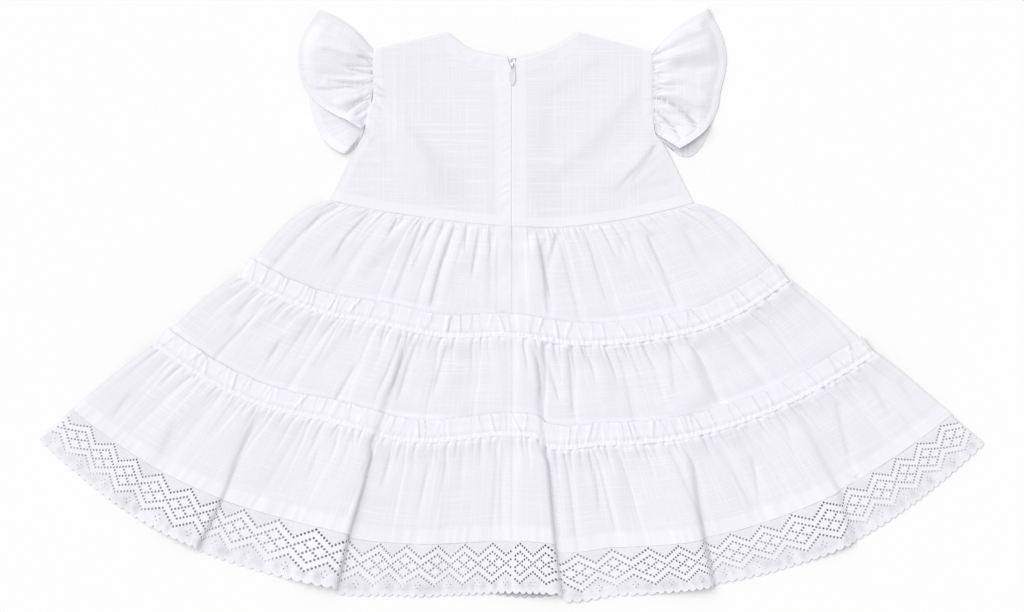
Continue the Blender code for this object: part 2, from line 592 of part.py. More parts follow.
def flat_outline(name, outlines, thick):
    """A 2D curve of closed outlines, filled and given its thickness, then made a mesh."""
    curve = bpy.data.curves.new(name, "CURVE")
    curve.dimensions = "2D"
    curve.fill_mode = "BOTH"
    curve.extrude = thick * 0.0005
    for outline in outlines:
        line = curve.splines.new("POLY")
        line.points.add(len(outline) - 1)
        for point, (x, y) in zip(line.points, outline):
            point.co = (x * 0.001, y * 0.001, 0, 1)
        line.use_cyclic_u = True
    maker = bpy.data.objects.new(name + "_outline", curve)
    bpy.context.scene.collection.objects.link(maker)
    graph = bpy.context.evaluated_depsgraph_get()
    mesh = bpy.data.meshes.new_from_object(maker.evaluated_get(graph))
    mesh.name = name
    bpy.data.objects.remove(maker)
    bm = bmesh.new()
    bm.from_mesh(mesh)
    bmesh.ops.remove_doubles(bm, verts=bm.verts, dist=0.00001)
    bmesh.ops.recalc_face_normals(bm, faces=bm.faces)
    bm.to_mesh(mesh)
    bm.free()
    mesh.materials.clear()
    return mesh


def zip_slider(name, look):
    """The slider: a low body under the back edges, and the hooked arch that holds the pull."""
    axis_y, axis_z = PULL["hinge_y"], PULL["hinge_z"]
    clear, arm, corner = SLIDER["clear"], SLIDER["arm"], SLIDER["arm"] / 2
    floor = LAYER + SLIDER["thick"]
    inner, outer = axis_y + clear, axis_y + clear + SLIDER["post"]
    tip, top = axis_y - clear - arm, axis_z + clear + arm
    hook = floor + LAYER + GAP * 2        # its tip stops over the back edges
    arch = ((inner, floor - corner), (outer, floor - corner), (outer, top - corner), (outer - corner, top),
            (tip + corner, top), (tip, top - corner), (tip, hook), (tip + arm, hook),
            (tip + arm, top - arm), (inner, top - arm))
    mesh = flat_outline(name, [arch], SLIDER["arch_width"])
    for vert in mesh.vertices:
        along_y, up, across = vert.co
        vert.co = (across + SLIDER["x"] * 0.001, along_y, up)
    bottom = ZIP_TAPE["top"] + GAP
    length = SLIDER["top"] - bottom
    body = bmesh.new()
    bmesh.ops.create_cube(body, size=1)
    for vert in body.verts:
        taper = 1 - SLIDER["taper"] * (0.5 - vert.co.y)
        vert.co = mm(SLIDER["x"] + vert.co.x * SLIDER["width"] * taper, bottom + (vert.co.y + 0.5) * length,
                     LAYER + (vert.co.z + 0.5) * SLIDER["thick"])
    body_mesh = bpy.data.meshes.new(name + "_body")
    body.to_mesh(body_mesh)
    body.free()
    joined = bpy.data.objects.new(name + "_arch", mesh)
    collection("cutters").objects.link(joined)
    joined.hide_render = True
    joined.display_type = "WIRE"
    part = add_part(name, body_mesh, look)
    union = part.modifiers.new("Arch", "BOOLEAN")
    union.operation = "UNION"
    union.object = joined
    return part


def zip_pull(name, look):
    """The teardrop pull, which turns on its own top bar under the slider's arch."""
    bar, top, tip, corner = PULL["bar"], PULL["bar"] / 2, PULL["tip"], PULL["corner"]
    half, eye = PULL["width"] / 2, PULL["eye_width"] / 2
    foot = top - PULL["length"]
    waist = top - bar - PULL["hole_length"]
    widest = foot + PULL["length"] * PULL["belly"]
    right = [(eye - corner, top), (eye, top - corner), (eye, waist)]
    steps = 6
    right += [(eye + (half - eye) * math.sin(math.pi / 2 * k / steps), waist + (widest - waist) * k / steps)
              for k in range(1, steps + 1)]
    right += [(half * math.cos(math.pi / 2 * k / steps) + tip * k / steps,
               widest + (foot - widest) * math.sin(math.pi / 2 * k / steps)) for k in range(1, steps)]
    right.append((tip, foot))
    outline = right + [(-x, y) for x, y in reversed(right)]
    hole_half = PULL["hole_width"] / 2
    hole = [(-hole_half, top - bar), (hole_half, top - bar), (hole_half, waist + corner),
            (hole_half - corner, waist), (corner - hole_half, waist), (-hole_half, waist + corner)]
    part = add_part(name, flat_outline(name, [outline, hole], PULL["thick"]), look)
    part.location = mm(SLIDER["x"], PULL["hinge_y"], PULL["hinge_z"])
    return part


def build():
    """The whole dress, from the bodice down to the lace, and its zip."""
    for old in list(bpy.data.objects):
        bpy.data.objects.remove(old)
    bodice_front("bodice_front", COTTON)
    bodice_back("bodice_back_left", BODICE_LEFT, -1, COTTON)
    bodice_back("bodice_back_right", BODICE_RIGHT, 1, COTTON)
    sleeve("sleeve_left", SLEEVE_LEFT, -1, COTTON)
    sleeve("sleeve_right", SLEEVE_RIGHT, 1, COTTON)
    for tier, (stem, look) in enumerate((("tier_1", COTTON), ("tier_2", COTTON), ("tier_3", COTTON),
                                         ("lace", LACE))):
        skirt_front(stem + "_front", tier, look)
        skirt_back(stem + "_back_left", tier, -1, look)
        skirt_back(stem + "_back_right", tier, 1, look)
    zip_tape("zip_tape", ZIP_WHITE)
    zip_slider("zip_slider", NICKEL)
    zip_pull("zip_pull", ENAMEL)


build()
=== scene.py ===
import math

import bmesh
import bpy
import numpy as np
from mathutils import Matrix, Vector, geometry


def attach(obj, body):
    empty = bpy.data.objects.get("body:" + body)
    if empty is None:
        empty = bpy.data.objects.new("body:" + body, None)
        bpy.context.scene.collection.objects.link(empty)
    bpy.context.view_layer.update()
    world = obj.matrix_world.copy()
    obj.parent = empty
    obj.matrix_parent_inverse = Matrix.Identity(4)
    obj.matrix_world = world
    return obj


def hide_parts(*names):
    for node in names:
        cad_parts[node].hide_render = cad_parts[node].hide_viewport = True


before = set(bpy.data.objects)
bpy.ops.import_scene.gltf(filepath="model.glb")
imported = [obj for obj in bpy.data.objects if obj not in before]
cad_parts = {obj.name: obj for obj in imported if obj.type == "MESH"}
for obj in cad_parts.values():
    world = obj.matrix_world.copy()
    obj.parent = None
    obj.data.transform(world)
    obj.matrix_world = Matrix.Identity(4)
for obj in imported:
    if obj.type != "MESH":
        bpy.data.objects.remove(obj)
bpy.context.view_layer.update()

# Lengths here are millimetres until makeSheet() and mm() turn them into metres
clothThick = 0.45      # of the woven cloth, with its nap
layerStep = 1.3        # one layer of the dress to the next, as in the solids
wallMiddle = 0.8       # middle of a layer above what it lies on
headingHeight = 18.0   # ruffle that stands above each gather line
weaveScale = 450.0     # from half a tier's cut in metres to its weave, a tenth of which the gathers hide
lapRamp = (21.0, 15.0)   # runs over which a layer climbs onto a lap, above the gather line and below it


def mm(*values):
    return Vector(values) * 0.001


def smooth(value, low, high):    # 0 below low, 1 above high, and an S-curve between
    share = np.clip((np.asarray(value, float) - low) / (high - low), 0.0, 1.0)
    return share * share * (3.0 - 2.0 * share)


def edgeStep(inside, soft=0.3):    # 1 where a distance is above 0, and 0 below, with a soft edge
    return smooth(inside, -soft, soft)


def hump(value, centre, wide):    # 1 at the centre, and fading beside it
    return np.exp(-((value - centre) / wide) ** 2)


def splineAt(values, share):    # smooth curve through equally spaced numbers or points
    points = np.asarray(values, float)
    ends = (points[0] * 3 - points[1] * 3 + points[2], points[-1] * 3 - points[-2] * 3 + points[-3])
    padded = np.concatenate([[ends[0]], points, [ends[1]]])
    place = np.clip(np.asarray(share, float), 0.0, 1.0) * (len(points) - 1)
    k = np.minimum(place.astype(int), len(points) - 2)
    f = place - k
    if points.ndim > 1:
        f = f[..., None]
    p0, p1, p2, p3 = padded[k], padded[k + 1], padded[k + 2], padded[k + 3]
    return p1 + (p2 - p0) * (0.5 * f) + (p0 * 2 - p1 * 5 + p2 * 4 - p3) * (0.5 * f * f) \
        + (p1 * 3 - p0 - p2 * 3 + p3) * (0.5 * f ** 3)


def surfaceNormals(grid):    # of a grid of points, rows running down and columns running across
    down = np.gradient(grid, axis=0)
    across = np.gradient(grid, axis=1)
    normal = np.cross(down, across)
    return normal / np.maximum(np.linalg.norm(normal, axis=2, keepdims=True), 1e-9)


def newGroup(name, inputs, outputs):
    group = bpy.data.node_groups.new(name, "ShaderNodeTree")
    for socketName, kind, value in inputs:
        made = group.interface.new_socket(name=socketName, in_out="INPUT", socket_type=kind)
        if value is not None:
            made.default_value = value
    for socketName, kind in outputs:
        group.interface.new_socket(name=socketName, in_out="OUTPUT", socket_type=kind)
    return group, group.nodes.new("NodeGroupInput"), group.nodes.new("NodeGroupOutput")


def addMath(tree, operation, first, second=None, third=None, clamp=False):
    node = tree.nodes.new("ShaderNodeMath")
    node.operation = operation
    node.use_clamp = clamp
    for k, value in enumerate((first, second, third)):
        if value is None:
            continue
        if isinstance(value, (int, float)):
            node.inputs[k].default_value = value
        else:
            tree.links.new(value, node.inputs[k])
    return node.outputs[0]


def addNoise(tree, vector, stretch, detail=2.0, rough=0.5, kind="2D"):    # noise over a stretched pattern
    scaled = tree.nodes.new("ShaderNodeMapping")
    scaled.inputs["Scale"].default_value = stretch
    tree.links.new(vector, scaled.inputs["Vector"])
    noise = tree.nodes.new("ShaderNodeTexNoise")
    noise.noise_dimensions = kind
    noise.inputs["Scale"].default_value = 1.0
    noise.inputs["Detail"].default_value = detail
    noise.inputs["Roughness"].default_value = rough
    tree.links.new(scaled.outputs[0], noise.inputs["Vector"])
    return noise.outputs["Fac"]


def addRange(tree, value, low, high, toLow=0.0, toHigh=1.0):
    node = tree.nodes.new("ShaderNodeMapRange")
    node.interpolation_type = "SMOOTHSTEP"
    for name, number in (("From Min", low), ("From Max", high), ("To Min", toLow), ("To Max", toHigh)):
        node.inputs[name].default_value = number
    tree.links.new(value, node.inputs["Value"])
    return node.outputs["Result"]


def makeSlubGroup():
    # Plain weave with uneven, thicker threads both ways. The pattern's unit is a millimetre of cloth.
    group, start, end = newGroup("slubWeave", [("Pattern", "NodeSocketVector", None)],
                                 [("Slub", "NodeSocketFloat"), ("Grain", "NodeSocketFloat"),
                                  ("Height", "NodeSocketFloat")])
    pattern = start.outputs["Pattern"]
    warp = addRange(group, addNoise(group, pattern, (0.66, 0.009, 1), 2.0), 0.52, 0.61)
    weft = addRange(group, addNoise(group, pattern, (0.010, 0.60, 1), 2.0), 0.52, 0.61)
    warpPlaces = addRange(group, addNoise(group, pattern, (0.034, 0.028, 1), 1.0), 0.40, 0.62)
    weftPlaces = addRange(group, addNoise(group, pattern, (0.048, 0.022, 1), 1.0), 0.40, 0.62)
    warp = addMath(group, "MULTIPLY", warp, addMath(group, "MULTIPLY_ADD", warpPlaces, 0.60, 0.50))
    weft = addMath(group, "MULTIPLY", weft, addMath(group, "MULTIPLY_ADD", weftPlaces, 0.60, 0.45))
    slub = addMath(group, "MAXIMUM", warp, weft)
    fine = addRange(group, addNoise(group, pattern, (0.95, 0.95, 1), 1.0), 0.3, 0.7, -1.0, 1.0)
    pinholes = addRange(group, addNoise(group, pattern, (0.75, 0.75, 1), 0.0), 0.76, 0.84)
    grain = addMath(group, "SUBTRACT", fine, addMath(group, "MULTIPLY", pinholes, 5.0))
    split = group.nodes.new("ShaderNodeSeparateXYZ")
    group.links.new(pattern, split.inputs[0])
    threadsAcross = addMath(group, "SINE", addMath(group, "MULTIPLY", split.outputs["X"], 9.5))
    threadsDown = addMath(group, "SINE", addMath(group, "MULTIPLY", split.outputs["Y"], 8.8))
    weave = addMath(group, "MULTIPLY", threadsAcross, threadsDown)
    height = addMath(group, "MULTIPLY_ADD", weave, 0.20, addMath(group, "MULTIPLY", slub, 0.8))
    group.links.new(slub, end.inputs["Slub"])
    group.links.new(grain, end.inputs["Grain"])
    group.links.new(height, end.inputs["Height"])
    return group


def makeNetGroup():
    # The lace's ground: threads that cross at a slant, closer together in its solid bands.
    group, start, end = newGroup("laceNet", [("Pattern", "NodeSocketVector", None), ("Solid", "NodeSocketFloat", 0.0)],
                                 [("Net", "NodeSocketFloat"), ("Height", "NodeSocketFloat")])
    split = group.nodes.new("ShaderNodeSeparateXYZ")
    group.links.new(start.outputs["Pattern"], split.inputs[0])
    rising = addMath(group, "ADD", split.outputs["X"], split.outputs["Y"])
    falling = addMath(group, "SUBTRACT", split.outputs["X"], split.outputs["Y"])
    first = addMath(group, "SINE", addMath(group, "MULTIPLY", rising, 4.4))
    second = addMath(group, "SINE", addMath(group, "MULTIPLY", falling, 4.4))
    openings = addRange(group, addMath(group, "MULTIPLY", first, second), 0.25, 0.85)
    threads = addMath(group, "SINE", addMath(group, "MULTIPLY", split.outputs["X"], 9.0))
    uneven = addRange(group, addNoise(group, start.outputs["Pattern"], (0.5, 0.5, 1), 2.0), 0.35, 0.7, 0.5, 1.1)
    loose = addMath(group, "SUBTRACT", 1.0, start.outputs["Solid"], clamp=True)
    net = addMath(group, "MULTIPLY", addMath(group, "MULTIPLY", openings, loose), uneven)
    closed = addMath(group, "MULTIPLY", addMath(group, "MULTIPLY", threads, 0.35), start.outputs["Solid"])
    group.links.new(net, end.inputs["Net"])
    group.links.new(addMath(group, "SUBTRACT", closed, net), end.inputs["Height"])
    return group


def scaledColour(tree, colour, light):    # a base colour made lighter or darker by a mask
    node = tree.nodes.new("ShaderNodeVectorMath")
    node.operation = "SCALE"
    node.inputs[0].default_value = colour
    tree.links.new(light, node.inputs["Scale"])
    return node.outputs[0]


def startCloth(name, settings):    # material, its tree, its shader, its pattern map and its mask of layers, which also carries painted shade and light
    made = bpy.data.materials.new(name)
    made.use_nodes = True
    tree = made.node_tree
    shader = tree.nodes["Principled BSDF"]
    place = tree.nodes.new("ShaderNodeUVMap")
    place.uv_map = "cloth"
    layers = tree.nodes.new("ShaderNodeAttribute")
    layers.attribute_name = "doubled"
    shader.inputs["Roughness"].default_value = settings["rough"]
    shader.inputs["Specular IOR Level"].default_value = 0.25
    shader.inputs["Sheen Weight"].default_value = settings["sheen"]
    shader.inputs["Sheen Roughness"].default_value = 0.5
    return made, tree, shader, place.outputs["UV"], layers.outputs["Fac"]


def addBump(tree, shader, height, settings):
    bump = tree.nodes.new("ShaderNodeBump")
    bump.inputs["Strength"].default_value = settings["bump"]
    bump.inputs["Distance"].default_value = settings["bumpDepth"]
    tree.links.new(height, bump.inputs["Height"])
    tree.links.new(bump.outputs[0], shader.inputs["Normal"])


def makeCotton(name, settings):
    # Matt white cotton. The map "cloth" holds millimetres of cloth, and "doubled" is 1 where it lies two layers thick,
    # lower where shade is painted and higher where light is painted.
    made, tree, shader, place, layers = startCloth(name, settings)
    weave = tree.nodes.new("ShaderNodeGroup")
    weave.node_tree = slubGroup
    tree.links.new(place, weave.inputs["Pattern"])
    cloud = addNoise(tree, place, (0.03, 0.03, 1), 2.0)
    seen = addMath(tree, "MULTIPLY_ADD", addMath(tree, "MINIMUM", layers, 1.0), -0.75, 1.0)    # two layers hide it
    light = addMath(tree, "MULTIPLY", weave.outputs["Slub"], settings["slub"])
    light = addMath(tree, "MULTIPLY", addMath(tree, "MULTIPLY_ADD", weave.outputs["Grain"], settings["grain"], light),
                    seen)
    light = addMath(tree, "MULTIPLY_ADD", layers, settings["doubled"], light)
    light = addMath(tree, "ADD", light, addRange(tree, cloud, 0.3, 0.7, -settings["cloud"], settings["cloud"]))
    light = addMath(tree, "ADD", light, 1.0)
    tree.links.new(scaledColour(tree, settings["colour"], light), shader.inputs["Base Color"])
    addBump(tree, shader, weave.outputs["Height"], settings)
    return made


def makeLaceLook(name, settings):    # "doubled" is 1 in the solid bands of the lace and 0 on its net, and lower where a shadow is painted
    made, tree, shader, place, layers = startCloth(name, settings)
    net = tree.nodes.new("ShaderNodeGroup")
    net.node_tree = netGroup
    tree.links.new(place, net.inputs["Pattern"])
    tree.links.new(layers, net.inputs["Solid"])
    light = addMath(tree, "MULTIPLY", net.outputs["Net"], -settings["net"])
    light = addMath(tree, "MULTIPLY_ADD", layers, settings["doubled"], light)
    cloud = addNoise(tree, place, (0.05, 0.05, 1), 2.0)
    light = addMath(tree, "ADD", light, addRange(tree, cloud, 0.3, 0.7, -settings["cloud"], settings["cloud"]))
    light = addMath(tree, "ADD", light, 1.0)
    tree.links.new(scaledColour(tree, settings["colour"], light), shader.inputs["Base Color"])
    addBump(tree, shader, net.outputs["Height"], settings)
    return made


slubGroup = makeSlubGroup()
netGroup = makeNetGroup()
cottonLook = {"colour": (0.812, 0.804, 0.851), "slub": 0.043, "grain": 0.009, "doubled": 0.038, "cloud": 0.006,
              "bump": 0.4, "bumpDepth": 0.00013, "rough": 0.92, "sheen": 0.06}
laceLook = {"colour": (0.828, 0.820, 0.866), "net": 0.17, "doubled": 0.055, "cloud": 0.012,
            "bump": 0.5, "bumpDepth": 0.0002, "rough": 0.95, "sheen": 0.04}
cotton = makeCotton("slubCotton", cottonLook)
cottonLace = makeLaceLook("cottonLace", laceLook)
sewingThread = makeCotton("sewingThread", dict(cottonLook, colour=(0.86, 0.85, 0.90), slub=0.0, grain=0.02, doubled=0.0,
                                             cloud=0.02))
print("materials ready")


def newMesh(name, points, faces):    # points in millimetres
    mesh = bpy.data.meshes.new(name)
    mesh.from_pydata((np.asarray(points) * 0.001).tolist(), [], faces)
    return mesh


def addLayers(mesh, pattern, doubled):    # each point's place in the flat cloth, and how pale the cloth is there
    corners = np.empty(len(mesh.loops), int)
    mesh.loops.foreach_get("vertex_index", corners)
    uv = mesh.uv_layers.new(name="cloth")
    uv.data.foreach_set("uv", pattern.reshape(-1, 2)[corners].astype(np.float32).reshape(-1))
    mark = mesh.attributes.new("doubled", "FLOAT", "POINT")
    mark.data.foreach_set("value", np.asarray(doubled, np.float32).reshape(-1))


def makeSheet(name, grid, pattern, doubled, look, node, thick=clothThick):
    # grid, pattern and doubled are arrays of rows by columns. Rows run down the cloth, columns across it.
    rows, columns = grid.shape[:2]
    index = np.arange(rows * columns).reshape(rows, columns)
    quads = np.stack([index[:-1, :-1], index[1:, :-1], index[1:, 1:], index[:-1, 1:]], axis=-1).reshape(-1, 4)
    mesh = newMesh(name, grid.reshape(-1, 3), quads.tolist())
    addLayers(mesh, pattern, doubled)
    return finishSheet(name, mesh, look, node, thick)


def finishSheet(name, mesh, look, node, thick):
    mesh.shade_smooth()
    mesh.materials.append(look)
    piece = bpy.data.objects.new(name + "_cloth", mesh)
    bpy.context.scene.collection.objects.link(piece)
    wall = piece.modifiers.new("Thickness", "SOLIDIFY")
    wall.thickness = thick * 0.001
    wall.offset = 0
    bpy.context.view_layer.objects.active = piece
    bpy.ops.object.modifier_apply(modifier="Thickness")
    mesh.set_sharp_from_angle(angle=math.radians(58))    # the cut edges stay crisp
    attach(piece, "dress")
    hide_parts(node)
    return piece


def creaseHeight(x, y, rows):
    # Height that listed creases give at flat points. A row holds a crease's height, above 0 for a ridge and
    # below 0 for a trough, its reach to -X and to +X of its line, the power of its bell, the shares of its length
    # over which it begins and ends, and the points of its line from the top down.
    total = np.zeros_like(x)
    for tall, wideLeft, wideRight, power, fadeIn, fadeOut, *line in rows:
        path = np.array(line, float)
        lengths = np.linalg.norm(np.diff(path, axis=0), axis=1)
        before = np.concatenate([[0], np.cumsum(lengths)])
        nearest = np.full(x.shape, 1e9)
        side, share = np.zeros_like(x), np.zeros_like(x)
        for k, length in enumerate(lengths):
            ahead = (path[k + 1] - path[k]) / length
            dx, dy = x - path[k][0], y - path[k][1]
            reach = np.clip(dx * ahead[0] + dy * ahead[1], 0, length)
            off = np.hypot(dx - ahead[0] * reach, dy - ahead[1] * reach)
            closer = off < nearest
            nearest = np.where(closer, off, nearest)
            side = np.where(closer, dx * ahead[1] - dy * ahead[0], side)
            share = np.where(closer, (before[k] + reach) / before[-1], share)
        bell = np.exp(-(nearest / np.where(side > 0, wideLeft, wideRight)) ** power)
        ends = smooth(share, 0, fadeIn) if fadeIn else 1.0
        ends = ends * (1 - smooth(share, 1 - fadeOut, 1)) if fadeOut else ends
        total += tall * bell * ends
    return total


skirt = {
    # Waist seam, the two gather lines, the hem and the lace's edge, each with its ends and its y from left to right
    "levels": (
        {"left": -158, "right": 158, "y": (90, 81.5, 75.5, 70.5, 67.5, 66.5, 70.5, 77.5, 87.5)},
        {"left": -237.5, "right": 239.5, "y": (25.5, -3.5, -15.5, -27.5, -27, -34.5, -30, -15.5, 21)},
        {"left": -310, "right": 315, "y": (-34.5, -82, -102, -118.5, -113, -121.5, -114, -87.5, -42.5)},
        {"left": -382.5, "right": 383, "y": (-91.5, -155.5, -189, -208.5, -206.5, -212, -199, -161, -96.5)},
        {"left": -411.5, "right": 411.5, "y": (-117, -196.5, -235.5, -253, -250.5, -252.5, -238, -200, -120.5)},
    ),
    "bulge": (8.5, 3.0, 1.5, 0.0),    # how far the sides of each tier and of the lace swell out
    "flare": 3.3,          # the headings' ends stand out by this
    "backLap": (28.5, 9.5),    # how far above and below its gather line a lapped layer stays fully raised
    "frontLap": (19.0, 0.0),
    "lappedEase": 0.5,     # share of a fold's height that is lost under a lap
    "frontHide": 1.5,      # the front's edge stays this far behind the back's
    "frontPeeks": ({"x": -166, "reach": 34, "drop": 8.0}, {"x": 12, "reach": 75, "drop": 11.0}),    # but for these
    "tape": {"half": 15.0, "ramp": 26.0, "foot": 54.0},
    "stepRun": (-3.0, 13.0),    # beside its crest the cloth right of a fold goes down over this run
    "stepReach": 60.0,     # and is back up at this distance
    # Large folds: the levels they pass, the crest's x and height at each, the reach to its left and its right, how
    # far the crest leans over, and how much lower the cloth right of it hangs at each level
    "folds": (
        ((0, 0.3, 0.55, 0.67), (-132, -141, -163, -170), (0, 2.5, 2.5, 0), (12, 12), 0, ()),
        ((0, 0.3, 0.55, 0.67), (-100, -110, -131, -136), (0, 3, 2.5, 0), (13, 12), 0, ()),
        ((0, 0.3, 0.55, 0.67), (-68, -76, -93, -96), (0, 3, 2.5, 0), (13, 12), 0, ()),
        ((0, 0.3, 0.55, 0.67), (-42, -47, -58, -61), (0, 2, 2, 0), (9, 12), 0, ()),
        ((0.05, 0.2, 0.55, 0.67), (27, 19, 26, 29), (0, 2.2, 2.4, 0), (15, 8), 2, ()),
        ((0, 0.3, 0.55, 0.67), (66, 73, 83, 85), (0, 3, 2.5, 0), (13, 13), 0, ()),
        ((0, 0.4, 0.55, 0.67), (102, 116, 132, 136), (0, 3, 2.5, 0), (13, 13), 0, ()),
        ((1, 1.25, 1.5, 1.65), (-205, -219, -247, -253), (0, 2.5, 2.5, 0), (12, 12), 0, ()),
        ((1, 1.25, 1.5, 1.65), (-178, -190, -214, -219), (0, 3, 3, 0), (13, 11), 0, ()),
        ((1, 1.25, 1.5, 1.65), (-147, -158, -176, -180), (0, 3, 3, 0), (12, 13), 0, ()),
        ((1, 1.25, 1.5, 1.65), (-50, -52, -56, -57), (0, 2, 2.5, 0), (14, 14), 0, ()),
        ((1, 1.25, 2, 3, 4), (-97, -102, -123, -149, -159), (0, 3.4, 4.8, 5.8, 4.8), (60, 8), 5, (0, 0, 2, 2, 4)),
        ((1, 1.2, 2, 3, 4), (14, 15, 22, 31, 37), (0, 3.2, 4.6, 4.8, 3.8), (56, 8), 3.8, (0, 3, 8, 7, 6)),
        ((1, 1.25, 1.5, 1.65), (72, 76, 82, 84), (0, 2.5, 2.5, 0), (15, 15), 0, ()),
        ((1, 1.25, 1.5, 1.65), (130, 135, 143, 146), (0, 3, 2.5, 0), (13, 9), 0, ()),
        ((1, 1.25, 1.5, 1.65), (154, 160, 175, 179), (0, 3, 3, 0), (10, 13), 0, ()),
        ((1, 1.25, 1.5, 1.65), (190, 200, 226, 232), (0, 3, 3, 0), (13, 13), 0, ()),
        ((2, 2.25, 3, 4), (-268, -281, -322, -344), (0, 3, 3, 2), (14, 14), 0, ()),
        ((2, 2.2, 3, 4), (-226, -230, -258, -279), (0, 1.2, 3.0, 5.0), (60, 8), 4, ()),
        ((2, 2.25, 3, 4), (-66, -67, -71, -74), (0, 2.5, 3, 2), (16, 16), 0, ()),
        ((2, 2.25, 3, 4), (84, 87, 104, 112), (0, 3, 3, 2), (15, 15), 0, ()),
        ((2, 2.2, 3, 4), (143, 146, 156, 166), (0, 3.2, 6.2, 5.6), (60, 14), 6, (0, 0, -1, -1)),
        ((2, 2.3, 3, 4), (238, 248, 277, 291), (0, 2.0, 3.2, 2.6), (50, 11), 3, ()),
    ),
}
lastLevel = len(skirt["levels"]) - 1


def halfWidth(level, side):
    key = "left" if side < 0 else "right"
    return np.interp(level, range(lastLevel + 1), [abs(row[key]) for row in skirt["levels"]])


def levelPoint(k, u):
    row = skirt["levels"][k]
    return np.where(u < 0, u * abs(row["left"]), u * row["right"]), splineAt(row["y"], (u + 1) / 2)


def tierLength(k, u):
    (x0, y0), (x1, y1) = levelPoint(k, u), levelPoint(k + 1, u)
    return np.hypot(x1 - x0, y1 - y0)


def levelBelow(line, below, u):    # level of the points that lie below a line, or above it where below is negative
    down = tierLength(min(line, lastLevel - 1), u)
    up = tierLength(max(line - 1, 0), u)
    return line + np.where(below > 0, below / down, below / up)


def flatPlace(u, level, front=False):
    x, y = np.zeros_like(u), np.zeros_like(u)
    band = np.clip(np.floor(level + 1e-9).astype(int), 0, lastLevel - 1)
    for k in range(lastLevel):
        here = band == k
        share = level[here] - k
        (x0, y0), (x1, y1) = levelPoint(k, u[here]), levelPoint(k + 1, u[here])
        swell = skirt["bulge"][k] * 6.75 * share * (1 - share) ** 2 * np.abs(u[here]) ** 5
        x[here] = x0 + (x1 - x0) * share + np.copysign(0.7, u[here]) * swell
        y[here] = y0 + (y1 - y0) * share + 0.7 * swell
    if front:
        y += skirt["frontHide"] * smooth(level, lastLevel - 1.5, lastLevel)
        for peek in skirt["frontPeeks"]:
            off = np.minimum(np.abs(x - peek["x"]) / peek["reach"], 1)
            y -= peek["drop"] * (0.5 + 0.5 * np.cos(np.pi * off)) * smooth(level, 2, lastLevel)
        return x, y
    drop = np.zeros_like(x)
    for at, crests, _, _, _, steps in skirt["folds"]:
        if steps:
            off = x - np.interp(level, at, crests)
            step = np.interp(level, at, steps) * smooth(off, *skirt["stepRun"])
            drop += step * (1 - smooth(off, skirt["stepRun"][1], skirt["stepReach"])) * (level > at[0])
    return x, y - drop


def lapShare(u, level, above, below):    # 1 where a heading laps over the tier above it
    total = np.zeros_like(u)
    for line in (1, 2):
        off = np.where(level < line, (level - line) * tierLength(line - 1, u), (level - line) * tierLength(line, u))
        reach = np.where(off < 0, above, below)
        share = 1 - smooth((np.abs(off) - reach) / np.where(off < 0, *lapRamp), 0, 1)
        total = np.where(np.abs(level - line) < 0.5, share, total)
    return total


def tapeRise(x, y):    # the zip's tape lifts the cloth over it, eased out beside it and below it
    tape = skirt["tape"]
    return layerStep * (1 - smooth(np.abs(x), tape["half"] + 1, tape["half"] + 1 + tape["ramp"])) \
        * smooth(y, tape["foot"] - tape["ramp"], tape["foot"])


def backBase(u, level):    # top of what carries the back layers, with the large folds in it
    x, y = flatPlace(u, level)
    lapped = lapShare(u, level, *skirt["backLap"])
    shift, height = np.zeros_like(x), np.zeros_like(x)
    for at, crests, rises, runs, lean, _ in skirt["folds"]:
        crest = np.interp(level, at, crests)
        top = np.interp(level, at, rises) * (level > at[0]) * (level <= at[-1])
        run = np.where(x < crest, *runs)
        bell = np.where(np.abs(x - crest) < run, 0.5 + 0.5 * np.cos(np.pi * (x - crest) / run), 0)
        height += top * bell * (1 if lean else tierLook["smallFolds"])
        shift += lean * bell * top / max(rises)
    height *= 1 - skirt["lappedEase"] * lapped
    return np.stack([x + shift * (1 - lapped), y, 1.0 + layerStep * lapped + tapeRise(x, y) + height], axis=-1)


def headingFlare(u, share):
    reach = skirt["flare"] * share * np.abs(u) ** 12
    return np.copysign(0.8, u) * reach, 0.6 * reach


def arcAcross(grid):    # length along each row of a grid from its first column, and each row's whole length
    steps = np.linalg.norm(np.diff(grid[..., :2], axis=1), axis=2)
    along = np.concatenate([np.zeros((len(grid), 1)), np.cumsum(steps, axis=1)], axis=1)
    return along, along[:, -1:]


